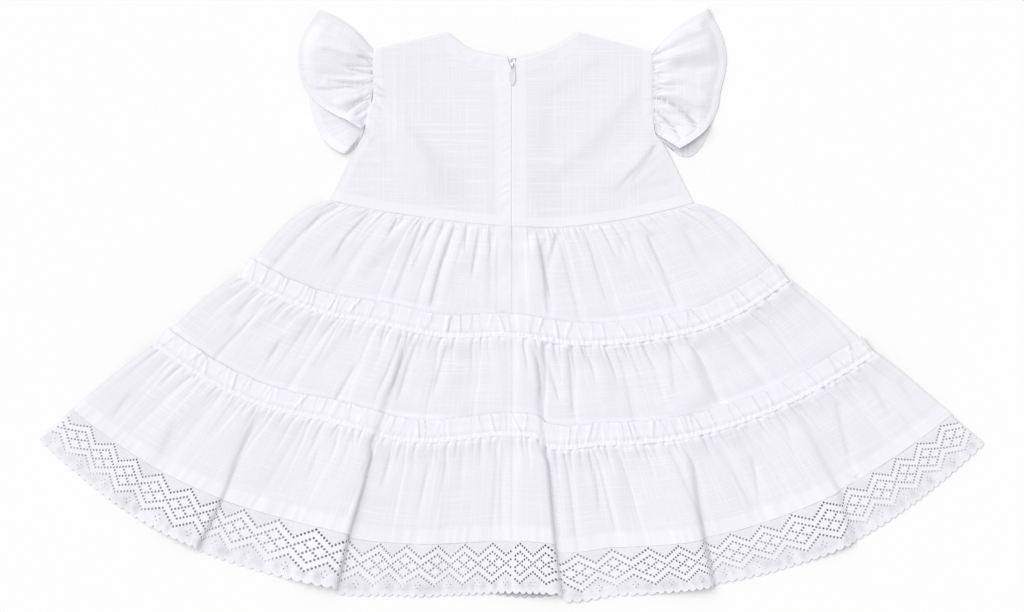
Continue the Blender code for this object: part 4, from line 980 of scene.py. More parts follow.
def lacePiece(name, first, last, front=False):
    phase = lace["frontPhase" if front else "backPhase"]
    cut, faces = laceCut(first, last, front)
    a, down = cut[:, 0] / lace["pitch"], cut[:, 1]
    x = np.interp(a, phase["repeat"], phase["x"])
    x *= 1 + (lace["fan"] - 1) * (1 - smooth(np.abs(x), 300, 390))
    half = np.where(x < 0, halfWidth(3.5, -1), halfWidth(3.5, 1))
    u = np.clip(x / half, -1, 1)
    level = 3 + down / lace["height"] * (lace["frontShort"] if front else 1)
    inside = np.minimum(level, 4.0)
    beyond = (level - inside) * lace["height"]
    if front:
        flatX, flatY = flatPlace(u, inside, front=True)
        base = np.stack([flatX, flatY, np.full_like(flatX, 0.5)], axis=-1)
        normal = np.array([0, 0, 1.0])
        height = 0.0
    else:
        step = 0.004
        base = backBase(u, inside)
        across = backBase(np.minimum(u + step, 1), inside) - backBase(np.maximum(u - step, -1), inside)
        fall = backBase(u, np.minimum(inside + step, 4)) - backBase(u, inside - step)
        normal = np.cross(fall, across)
        normal /= np.linalg.norm(normal, axis=-1, keepdims=True)
        peek = np.zeros_like(x)
        for row in skirt["frontPeeks"]:
            off = np.minimum(np.abs(x - row["x"]) / row["reach"], 1)
            peek = np.maximum(peek, 0.5 + 0.5 * np.cos(np.pi * off))
        droop, tip = lace["droop"], lace["tip"]
        height = wallMiddle + lace["stand"] - lace["underHem"] * (1 - smooth(down, 0.0, 1.6)) \
            + (peek * lace["lift"] - droop["far"] * (1 - peek)) * smooth(down, *droop["run"]) \
            - tip["far"] * smooth(down, *tip["run"]) * (1 - peek) + lace["overlap"] * edgeStep(x, 0.6)
        height = height[:, None]
    place = base + normal * height
    place[:, 1] -= beyond
    mesh = newMesh(name, place, faces)
    build = bmesh.new()
    build.from_mesh(mesh)
    for face in build.faces:
        if face.normal.z < 0:
            face.normal_flip()
    build.to_mesh(mesh)
    build.free()
    swing = lace["rise"] * zigzag(a)
    middle = lace["zigzags"][1][0]
    upper = smooth(lace["zigzags"][0][0] - swing - down, 0.3, 1.2)
    lower = smooth(down - lace["zigzags"][3][0] - swing, 0.3, 1.2)
    rim = down > np.array([laceEdge(value) for value in a]) - lace["rim"]["wide"]
    shadow, knots = lace["shadow"], lace["knots"]
    shade = shadow["dark"] * (1 - smooth(np.abs(x - shadow["x"]), *shadow["run"])) if front else 0.0
    band = np.maximum(1 - np.maximum(upper, lower), lace["rim"]["pale"] * rim)
    for across, below in knots["at"]:
        away = ((a % 1.0 - across) * lace["pitch"] / knots["size"][0]) ** 2 \
            + ((down - middle - below * lace["rise"]) / knots["size"][1]) ** 2
        band += knots["pale"] * np.exp(-away)
    rng = np.random.default_rng(len(name))
    for row in lace["mottles"]:    # thin and close places in the net by the scallops
        uneven = splineAt(rng.uniform(*row["range"], int((last - first) * row["perRepeat"])),
                          (a - first) / (last - first))
        band += lower * uneven * hump(down, row["depth"], row["wide"])
    addLayers(mesh, np.stack([cut[:, 0], -down], axis=-1), band - shade)
    return finishSheet(name, mesh, cottonLace, name, lace["thick"])


for name, first, last, front in (("lace_front", -14.3, 14.3, True),
                                 ("lace_back_left", lace["backPhase"]["repeat"][0] + 0.02, 0.255, False),
                                 ("lace_back_right", 0.232, lace["backPhase"]["repeat"][-1] - 0.02, False)):
    piece = lacePiece(name, first, last, front)
print("lace ready")


bodice = {
    # "outer" climbs the side seam to the underarm and the armhole to the shoulder. "columns" join a place on the
    # waist seam to a point of the shoulder or the neckline, and "corners" are the columns where that line turns.
    "left": {
        "outer": ((-158, 90.15), (-148.5, 109.5), (-139, 129), (-129, 146.5), (-125, 166.5), (-120.7, 179),
                  (-120.5, 200), (-120.5, 221)),
        "waist": (-158, -129, -101, -74, -58, -45, -31, -16, 0),
        "top": ((-120.5, 221), (-99, 226), (-78, 231), (-56.5, 236), (-49, 230.3), (-42, 224.8), (-31, 219.2),
                (-16, 215.8), (-4.3, 214.2)),
        "corners": (0, 3, 8),
    },
    "right": {
        "outer": ((158, 87.65), (151, 101), (144, 115), (132, 139), (125, 148), (122.6, 172), (122.3, 195),
                  (122.2, 218.5)),
        "waist": (0, 16, 31, 45, 58, 74, 101, 129, 158),
        "top": ((5.2, 213.4), (16, 215), (31, 220.6), (44, 227.2), (51, 231.6), (58, 236), (79, 230.3),
                (100.5, 224.6), (122.2, 218.5)),
        "corners": (0, 5, 8),
    },
    "frontNeck": ((-62, -48, -32, -16, 0, 16, 32, 48, 62),
                  ((-53, 213), (-45, 200), (-31, 190), (-16, 184), (0, 182), (16, 184), (31, 190), (45.5, 200),
                   (54, 213))),
    "columnsAcross": 168,
    "rowsUp": 160,
    "height": 1.8,         # of the back's middle above the surface
    "lowest": 1.2,
    "gap": 0.10,           # the back edges meet over the zip with a hair between
    "front": {"columns": 96, "rows": 44, "height": 0.5, "shrink": 0.995, "doubled": 0.2, "thick": 0.4},
    "notch": 203.6,        # the two back edges meet up to here
    "notchShare": 6 / 7,
    "hem": {"neck": 13.0, "armhole": 8.0, "waist": 8.7, "zip": 13.2, "side": 6.5},    # doubled bands along the edges
    "hemPale": {"neck": 1.0, "armhole": 1.2, "waist": 1.5, "zip": 1.6, "side": 0.6, "front": 0.7},
    "hemRise": {"cloth": 0.12, "zip": 0.1, "waist": 0.15},
    "armholeFrom": (148, 160),    # heights on the dress over which one edge gives way to the next
    "sideTo": (140, 150),
    "neckFrom": (190, 200),
    "shoulderFrom": (56, 60),
    "rolls": {"neck": (0.5, 2.5), "side": (0.75, 9), "armhole": (0.40, 2)},    # how far an edge goes down, and its run
    "shade": {"dark": 0.35, "below": 170, "run": 60, "fade": (40, 75)},    # painted shade: the middle of the back is darkened as if it lay a bit hollow
    "zipLips": {"rise": 0.08, "at": 2.2, "wide": 1.4, "line": 0.12, "lineWide": 0.6},
    "zipPuckers": {"rise": 0.30, "count": 60, "at": 5.5, "wide": 4, "calm": (110, 170)},
    "underarm": {"from": (126, 138), "to": (84, 99), "rise": 2.4, "run": 17.0},
    "creases": (
        (-0.8, 1.3, 3.6, 1.3, 0, 0.4, (127, 140), (112, 120), (94, 101), (87, 90)),
        (-0.9, 1.4, 3.0, 1.3, 0, 0.6, (128, 139), (116, 120), (98, 97)),
        (-0.5, 2.2, 3.5, 2, 0.1, 0.6, (131, 131), (118, 117), (102, 103)),
        (1.2, 17, 8, 2, 0.15, 0.25, (113, 198), (98, 179), (83, 159), (68, 144), (53, 130), (36, 116), (26, 104)),
        (0.7, 13, 6, 2, 0.2, 0.4, (80, 219), (56, 203), (38, 190), (17, 175)),
        (0.5, 9, 7, 2, 0.3, 0.3, (100, 130), (84, 112), (74, 96)),
        (-0.7, 2.4, 5, 1.4, 0, 0.7, (-119, 196), (-109, 180), (-96, 166)),
        (3.2, 22, 10, 2, 0.35, 0.35, (-118, 178), (-103, 161), (-88, 141), (-74, 119), (-60, 100), (-52, 86)),
        (-0.7, 5, 10, 2, 0.3, 0.4, (-118, 158), (-106, 132), (-98, 112)),
        (-0.6, 5, 9, 2, 0.2, 0.3, (-34, 213), (-11, 187)),
        (-0.7, 1.8, 3, 1.3, 0, 0.7, (-119, 178), (-111, 166), (-103, 158)),
        (-0.7, 3, 5, 2, 0.1, 0.6, (-124, 143), (-108, 128), (-94, 116)),
        (-0.6, 1.2, 2.2, 2, 0.2, 0.4, (-6, 198), (-2, 188)),
        (-0.5, 1.6, 2.6, 2, 0.1, 0.5, (-40, 226), (-29, 216), (-18, 211)),
        (-0.4, 1.5, 2.5, 2, 0.2, 0.6, (-46, 220), (-34, 208)),
        (-0.4, 1.6, 2.4, 2, 0.3, 0.4, (24, 214), (36, 210), (47, 214)),
        (-0.6, 4, 7, 2, 0.2, 0.6, (-140, 122), (-120, 112), (-92, 108)),
        (-0.6, 4, 6, 2, 0.2, 0.6, (146, 106), (124, 100), (100, 97)),
    ),
    "paintedCreaseShade": (          # painted shade: dark lines beside the armholes, each row's height a paleness
        (-3.2, 1.1, 1.2, 2, 0, 0.6, (-119.1, 190.3), (-112.9, 186), (-106, 182.4)),
        (-3.2, 1.1, 1.2, 2, 0, 0.6, (-119.1, 183.5), (-114.2, 180.5), (-105, 178.6)),
        (-1.6, 1.2, 1.2, 2, 0, 0.6, (-119.1, 197.6), (-109, 196)),
        (-1.8, 1.3, 1.6, 2, 0, 0.6, (-124.5, 163.3), (-121, 159.6), (-113, 154)),
        (-1.4, 1.4, 1.6, 2, 0, 0.6, (-121.5, 172), (-114, 169.5), (-106, 165)),
        (-1.6, 1.2, 1.4, 2, 0, 0.6, (122, 167), (113, 159)),
        (-1.4, 1.2, 1.4, 2, 0, 0.6, (122.5, 178), (112, 176.5)),
        (-2.4, 1.2, 1.6, 2, 0, 0.6, (128.3, 141.2), (121.5, 133.8), (113, 125)),
        (-2.0, 1.2, 1.4, 2, 0, 0.6, (132, 138.5), (136, 131), (139.9, 124)),
    ),
}


def cornered(points, corners, place):    # smooth line through points with corners kept at some of them
    points = np.asarray(points, float)
    place = np.asarray(place, float)
    shape = place.shape + points.shape[1:]
    found = np.zeros(shape)
    for first, last in zip(corners[:-1], corners[1:]):
        here = (place >= first) & (place <= last)
        found[here] = splineAt(points[first:last + 1], (place[here] - first) / (last - first))
    return found


def waistPoint(x):
    u = np.where(x < 0, x / halfWidth(0, -1), x / halfWidth(0, 1))
    return np.stack(levelPoint(0, u), axis=-1)


def spannedPanel(waist, top, corners, left, right, place, t):
    # Flat points of a panel spanned between its lower edge, its top line and its two sides
    low = waistPoint(np.interp(place, range(len(waist)), waist))
    high = cornered(top, corners, place)
    s = (np.interp(place, range(len(waist)), waist) - waist[0]) / (waist[-1] - waist[0])
    s, t = s[..., None], t[..., None]
    lowEnds = [waistPoint(np.array(waist[k], float)) for k in (0, -1)]
    highEnds = [np.array(top[k], float) for k in (0, -1)]
    across = low + (high - low) * t
    up = left(t[..., 0]) * (1 - s) + right(t[..., 0]) * s
    corner = (lowEnds[0] * (1 - s) + lowEnds[1] * s) * (1 - t) + (highEnds[0] * (1 - s) + highEnds[1] * s) * t
    return across + up - corner


def underarmFold(x, y):
    fold = bodice["underarm"]
    line = np.array(fold["to"], float) - fold["from"]
    length = np.linalg.norm(line)
    line /= length
    dx, dy = x - fold["from"][0], y - fold["from"][1]
    reach = np.clip((dx * line[0] + dy * line[1]) / length, 0, 1)
    off = np.abs(dx * line[1] - dy * line[0]) / fold["run"]
    return fold["rise"] * np.maximum(0, 1 - off) * np.sin(np.pi * reach)


def edgeDistance(grid, row, column):    # flat distance of each point from one row or column of the grid
    line = (grid[row, :] if column is None else grid[:, column])[:, :2][::2]
    flat = grid[..., :2].reshape(-1, 2)
    nearest = np.full(len(flat), 1e9)
    for a, b in zip(line[:-1], line[1:]):
        along = b - a
        reach = np.clip(((flat - a) @ along) / max(along @ along, 1e-9), 0, 1)
        nearest = np.minimum(nearest, np.linalg.norm(flat - a - reach[:, None] * along, axis=1))
    return nearest.reshape(grid.shape[:2])


def bodiceBack(side, name):
    shape = bodice["left" if side < 0 else "right"]
    last = len(shape["waist"]) - 1
    place, t = np.meshgrid(np.linspace(0, last, bodice["columnsAcross"]), np.linspace(1, 0, bodice["rowsUp"]))
    neck = shape["top"][-1 if side < 0 else 0]
    inner = np.array([tuple(waistPoint(np.array(0.0))), (0, bodice["notch"]), neck], float)

    def outside(t):
        return splineAt(shape["outer"], t)

    def inside(t):
        stops = (0, bodice["notchShare"], 1)
        return np.stack([np.interp(t, stops, inner[:, k]) for k in range(2)], axis=-1)

    sides = (outside, inside) if side < 0 else (inside, outside)
    flat = spannedPanel(shape["waist"], shape["top"], shape["corners"], *sides, place, t)
    x, y = flat[..., 0], flat[..., 1]
    base = np.dstack([x, y, bodice["height"] + tapeRise(x, y) + underarmFold(x, y)])
    toNeck = edgeDistance(base, 0, None)      # the top row, shoulder and all
    shoulder = smooth(np.abs(x), *bodice["shoulderFrom"])
    outer = edgeDistance(base, None, 0 if side < 0 else -1)
    toWaist = edgeDistance(base, -1, None)
    hem, tone, rise, rolls = bodice["hem"], bodice["hemPale"], bodice["hemRise"], bodice["rolls"]
    atArmhole, atSide = smooth(y, *bodice["armholeFrom"]), 1 - smooth(y, *bodice["sideTo"])
    armhole = atArmhole * edgeStep(hem["armhole"] - outer)
    neckband = (1 - shoulder) * edgeStep(hem["neck"] - toNeck) * smooth(y, *bodice["neckFrom"])
    allowance = edgeStep(hem["waist"] - toWaist)
    zipBand = edgeStep(hem["zip"] - np.abs(x), 1.5)
    pale = np.maximum.reduce([tone["armhole"] * armhole, tone["neck"] * neckband, tone["waist"] * allowance,
                              tone["zip"] * zipBand, tone["side"] * edgeStep(hem["side"] - outer) * atSide])
    rng = np.random.default_rng(90 + side)
    # painted shade over the lower middle of the back
    shade = bodice["shade"]
    pale -= shade["dark"] * smooth(shade["below"] - y, 0, shade["run"]) \
        * (1 - smooth(np.abs(x), *shade["fade"])) * (1 - np.clip(pale, 0, 1))
    # painted shade: dark lines along the deepest creases
    pale += creaseHeight(x, y, bodice["paintedCreaseShade"])
    height = creaseHeight(x, y, bodice["creases"]) * (1 - zipBand)
    height += rise["cloth"] * np.maximum.reduce([armhole, neckband, allowance]) + rise["zip"] * zipBand
    height += rise["waist"] * (1 - smooth(toWaist, 1.0, 6.0))
    height -= rolls["neck"][0] * (1 - smooth(toNeck, 0, rolls["neck"][1])) * smooth(y, 200, 210)
    height -= rolls["side"][0] * (1 - smooth(outer, 0, rolls["side"][1])) * atSide
    height -= rolls["armhole"][0] * (1 - smooth(outer, 0, rolls["armhole"][1])) * atArmhole
    lips, puckers = bodice["zipLips"], bodice["zipPuckers"]
    height += lips["rise"] * hump(np.abs(x), lips["at"], lips["wide"]) - lips["line"] * hump(x, 0, lips["lineWide"])
    uneven = splineAt(rng.uniform(-1, 1, puckers["count"]), (y + 0.5 * np.abs(x) - 60) / 170)
    height += puckers["rise"] * uneven * hump(np.abs(x), puckers["at"], puckers["wide"]) \
        * (1 - 0.5 * smooth(y, *puckers["calm"]))
    grid = base + surfaceNormals(base) * height[..., None]
    grid[..., 0] += bodice["gap"] * side * (1 - smooth(np.abs(x), 0, 2))
    grid[..., 2] = np.maximum(grid[..., 2], bodice["lowest"])
    pattern = np.stack([x + 700 + 300 * side, y], axis=-1)
    piece = makeSheet(name, grid, pattern, pale, cotton, name)
    return piece


def bodiceFront(name):
    left, right = bodice["left"], bodice["right"]
    waist = left["waist"][:4] + bodice["frontNeck"][0] + right["waist"][5:]
    top = left["top"][:4] + bodice["frontNeck"][1] + right["top"][5:]
    last = len(waist) - 1
    settings = bodice["front"]
    place, t = np.meshgrid(np.linspace(0, last, settings["columns"]), np.linspace(1, 0, settings["rows"]))
    flat = spannedPanel(waist, top, (0, 3, last - 3, last), lambda t: splineAt(left["outer"], t),
                        lambda t: splineAt(right["outer"], t), place, t)
    x, y = flat[..., 0], flat[..., 1]
    base = np.dstack([x * settings["shrink"], y, settings["height"] + 0 * x])
    toNeck = edgeDistance(base, 0, None)
    toWaist = edgeDistance(base, -1, None)
    hem, tone = bodice["hem"], bodice["hemPale"]["front"]
    pale = np.maximum(tone * edgeStep(hem["neck"] - toNeck), tone * edgeStep(hem["waist"] - toWaist))
    base[..., 2] += settings["doubled"] * (1 - smooth(pale, 0.1, 0.6))
    pattern = np.stack([x + 1400, y], axis=-1)
    piece = makeSheet(name, base, pattern, pale, cotton, name, settings["thick"])
    return piece


bodiceFront("bodice_front")
for side, end in ((-1, "left"), (1, "right")):
    bodiceBack(side, f"bodice_back_{end}")
print("bodice ready")


sleeves = {
    # Rays of each sleeve from the armhole seam to the hem: the front half from its lower end up to the top fold,
    # then the back half down to its lower end.
    "left": {
        "seam": ((-130.3, 147), (-128.5, 152), (-127, 160), (-125, 170), (-121.5, 184), (-121, 200), (-121, 212),
                 (-121, 219.5), (-121, 212), (-121, 204), (-121, 196), (-121.2, 188), (-122, 180),
                 (-123.5, 170), (-127, 156)),
        "hem": ((-135.5, 136.5), (-147.5, 130.8), (-164, 143.5), (-173.5, 164), (-177.5, 186.5), (-183, 205),
                (-181, 230), (-166.5, 255), (-182.5, 230), (-185.3, 210), (-181.5, 190), (-168, 173), (-151, 163),
                (-143.5, 159.5), (-130.5, 151.5)),
        "creases": (
            (-1.8, 1.3, 1.3, 1.5, 0, 0.8, (-121, 210.5), (-130.4, 214), (-143, 217.6)),
            (-3.2, 1.3, 1.8, 1.5, 0, 0.7, (-121, 200.5), (-130.4, 202), (-137.7, 204.3), (-146, 206.8), (-152, 211)),
            (-3.0, 1.3, 1.3, 1.5, 0, 0.15, (-121, 191.5), (-134, 191), (-145, 192.5), (-161.5, 193.3)),
            (-1.3, 1.1, 1.3, 1.4, 0, 0.05, (-121, 187), (-132, 186.4), (-139.6, 187.8), (-148.8, 187.3),
             (-159.7, 185.5), (-170.7, 186.4), (-178, 192.4)),
            (-0.7, 1.2, 1.6, 1.4, 0.1, 0.3, (-178.5, 192.4), (-181, 201), (-181.8, 219)),
            (-2.6, 3.4, 1.2, 1.6, 0, 0.1, (-121.5, 178), (-128, 176.5), (-133.5, 173.8), (-141, 167), (-147, 161)),
            (0.9, 1.8, 1.8, 2, 0.1, 0.4, (-123, 211), (-135.8, 219.8), (-148.6, 228), (-158, 235.5)),
            (1.6, 4, 2.6, 2, 0.2, 0.2, (-128, 212.5), (-141, 217), (-154, 221.8), (-172.5, 223.6)),
            (-0.9, 3, 5, 2, 0.2, 0.3, (-125, 203), (-143, 209), (-158, 217)),
            (-1.2, 3, 4, 2, 0.2, 0.3, (-128.5, 196), (-141, 197), (-156, 198.8), (-174, 199.7)),
            (0.9, 2, 2, 2, 0.2, 0.3, (-128, 194), (-146, 194.5), (-168, 190)),
            (-0.8, 5, 5, 2, 0.3, 0.5, (-150, 241), (-161, 241)),
            (1.3, 4, 4, 2, 0.2, 0.2, (-128, 181), (-143, 177), (-156, 170)),
            (-0.8, 1.5, 3, 2, 0.1, 0.5, (-125, 186), (-137, 181), (-147, 180)),
        ),
        "paintedCreaseShade": (    # painted shade: dark lines where a crease is too deep for light, each row's height a paleness
            (-4.5, 1.2, 1.2, 1.5, 0, 0.5, (-121, 209), (-123.4, 209.9), (-131.4, 214.8), (-139.9, 216.7)),
            (-8.4, 1.2, 1.2, 1.5, 0, 0.4, (-121, 200.5), (-131.4, 201.9), (-139.9, 203.8), (-147.3, 207.5)),
            (-6.8, 1.2, 1.2, 1.5, 0, 0.4, (-121, 192.7), (-131.4, 191.1), (-139.9, 191.5), (-151, 192.7),
             (-163.3, 193.3)),
            (-2.7, 1.2, 1.2, 1.5, 0, 0.2, (-122.8, 186.4), (-133.8, 186.4), (-141.2, 188.4), (-149.8, 187.8),
             (-159.6, 186), (-170.6, 186.6), (-178.6, 190.3), (-181, 197.6), (-182.3, 209.9), (-181.9, 228.3)),
            (-6.8, 1.2, 1.2, 1.5, 0, 0.6, (-121.5, 177.4), (-127.7, 177.4), (-133.8, 173.7), (-138.7, 168.8),
             (-146, 165.7)),
        ),
        "seamRise": 0.8,
        "curl": (3.2, 0.8),
        "shade": 0.75,
        "arch": 4.4,       # the front half rises this far beside its own lower end, which lies in its shade
        "pale": 0.55,
    },
    "right": {
        "seam": ((133, 140), (130.5, 142.5), (127, 147.5), (124.5, 156), (122.8, 170), (122.6, 188), (122.6, 204),
                 (122.6, 217.5), (122.6, 210), (122.6, 202), (122.6, 193), (122.7, 184), (122.9, 175),
                 (123.6, 164), (126, 148)),
        "hem": ((140, 134), (148, 127.8), (158, 129.2), (167.5, 140.5), (173.5, 158), (179.5, 195), (178.5, 232),
                (169, 256.5), (181.5, 236), (186.5, 216), (185.3, 200), (181.5, 184), (178.5, 168),
                (168.5, 150.5), (146, 134.6)),
        "creases": (
            (-1.6, 1.4, 1.4, 1.4, 0, 0.6, (122, 215), (130, 214.5)),
            (-1.6, 1.2, 1.4, 1.4, 0, 0.6, (122, 209), (134, 209)),
            (-1.6, 1.2, 1.4, 1.4, 0, 0.6, (122, 198), (130, 196.5)),
            (-1.8, 1.6, 2.0, 1.4, 0, 0.6, (122, 190), (132, 189), (152, 189)),
            (-3.0, 1.4, 3.0, 1.5, 0, 0.1, (123, 179.5), (135, 175), (146.5, 168), (155, 159.5), (163, 150)),
            (-2.4, 1.4, 2.4, 1.5, 0, 0.1, (123, 171), (132, 165), (143.5, 151), (149.5, 140)),
            (-1.9, 1.2, 2.0, 1.5, 0, 0.2, (123.5, 163), (128, 153.8), (132.5, 143)),
            (-1.0, 1.6, 3, 2, 0.2, 0.2, (151, 168), (160, 160), (169, 156)),
            (1.3, 4.5, 7, 2, 0.2, 0.1, (130, 223), (149, 232.5), (168, 240)),
            (1.9, 6, 5, 2, 0.2, 0.3, (128, 211), (149, 217), (178, 222)),
            (1.6, 4.5, 6, 2, 0.2, 0.2, (127, 195), (152, 195), (172, 188)),
            (-1.0, 3, 5, 2, 0.2, 0.2, (140, 206), (160, 204), (182, 208)),
            (1.6, 4, 5, 2, 0.2, 0.2, (127, 184), (146, 180), (170, 170)),
        ),
        # painted shade: dark lines in the deepest creases, each row's height a paleness
        "paintedCreaseShade": (
            (-8.4, 1.2, 1.9, 1.5, 0, 0.15, (122, 178.3), (131.3, 177.4), (139.9, 172.5), (148.5, 167), (155.9, 159.6),
             (161.4, 153.5), (166.3, 148.6)),
            (-6.8, 1.2, 1.6, 1.5, 0, 0.3, (123, 169), (132.5, 160.8), (138.7, 154.7), (142.4, 148.6), (145.4, 143.7)),
            (-6, 1, 1.2, 1.5, 0, 0.5, (121.5, 189.1), (127.6, 187.2), (137.5, 186), (148.5, 186.6)),
            (-4.5, 1.2, 1.2, 1.5, 0, 0.4, (123, 161.5), (127.5, 156), (131, 149)),
            (-5.3, 1, 1, 1.5, 0, 0.6, (122, 208.7), (132.5, 209.9)),
            (-3.7, 1, 1, 1.5, 0, 0.6, (122, 217.3), (138.7, 218.5)),
            (-3, 1, 1, 1.5, 0, 0.6, (122, 200.5), (129, 197), (137, 196.5)),
        ),
        "seamRise": 1.0,
        "curl": (1.8, 0.9),
        "shade": 3.0,
        "arch": 0.0,
        "pale": 0.2,
    },
    "foldRow": 7,
    "foldRadius": 1.9,
    "foldTight": 0.65,     # its radius at the seam
    "opening": 0.4,
    "foldSwell": 4.5,
    "flute": 1.1,
    "fluteRows": 3.0,
    "between": 15,         # rows from one ray to the next
    "height": 0.5,         # of the front half's middle above the surface
    "thick": 0.42,
    "columnsOut": 64,
    "turns": 13,           # columns round the top fold
    "tuck": 0.7,           # the seam goes this far under the armhole's edge
    "hemBand": 7.4,
    "bandFrom": (14, 22),  # rays of this length have room for the whole band
    "bandEase": 0.5,
    "bandPale": {"front": 0.9, "back": 1.0},
    "hemLine": (0.08, 0.8),
    "hemFlat": {"run": 12, "ease": 0.65, "sink": 0.9},    # the hem lies lower than the folds behind it
    "wave": {"rise": 0.35, "parts": 40},
    "dashes": {"dark": 8.0, "parts": 75, "at": 1.3, "wide": 0.9},    # painted shade: dark dashes along the armhole seam
    "shadow": 4.0,         # on the front half, under the back half
    "endLift": 4.4,        # the lower end of the back half curls up this far
    "seamGathers": (
        {"side": "below", "spacing": (2.2, 4.4), "depth": (1.0, 2.0), "wide": (0.5, 0.8), "length": (3.5, 13),
         "lean": (-0.25, 0.25), "steep": (1, 1.6), "pale": (0, 0.9)},
        {"side": "below", "spacing": (6, 12), "depth": (0.9, 2.0), "wide": (0.9, 1.6), "length": (16, 40),
         "lean": (-0.2, 0.2), "steep": (1, 2.2), "spread": 0.03, "start": 0.6, "pale": (0, 1.0)},
    ),
}


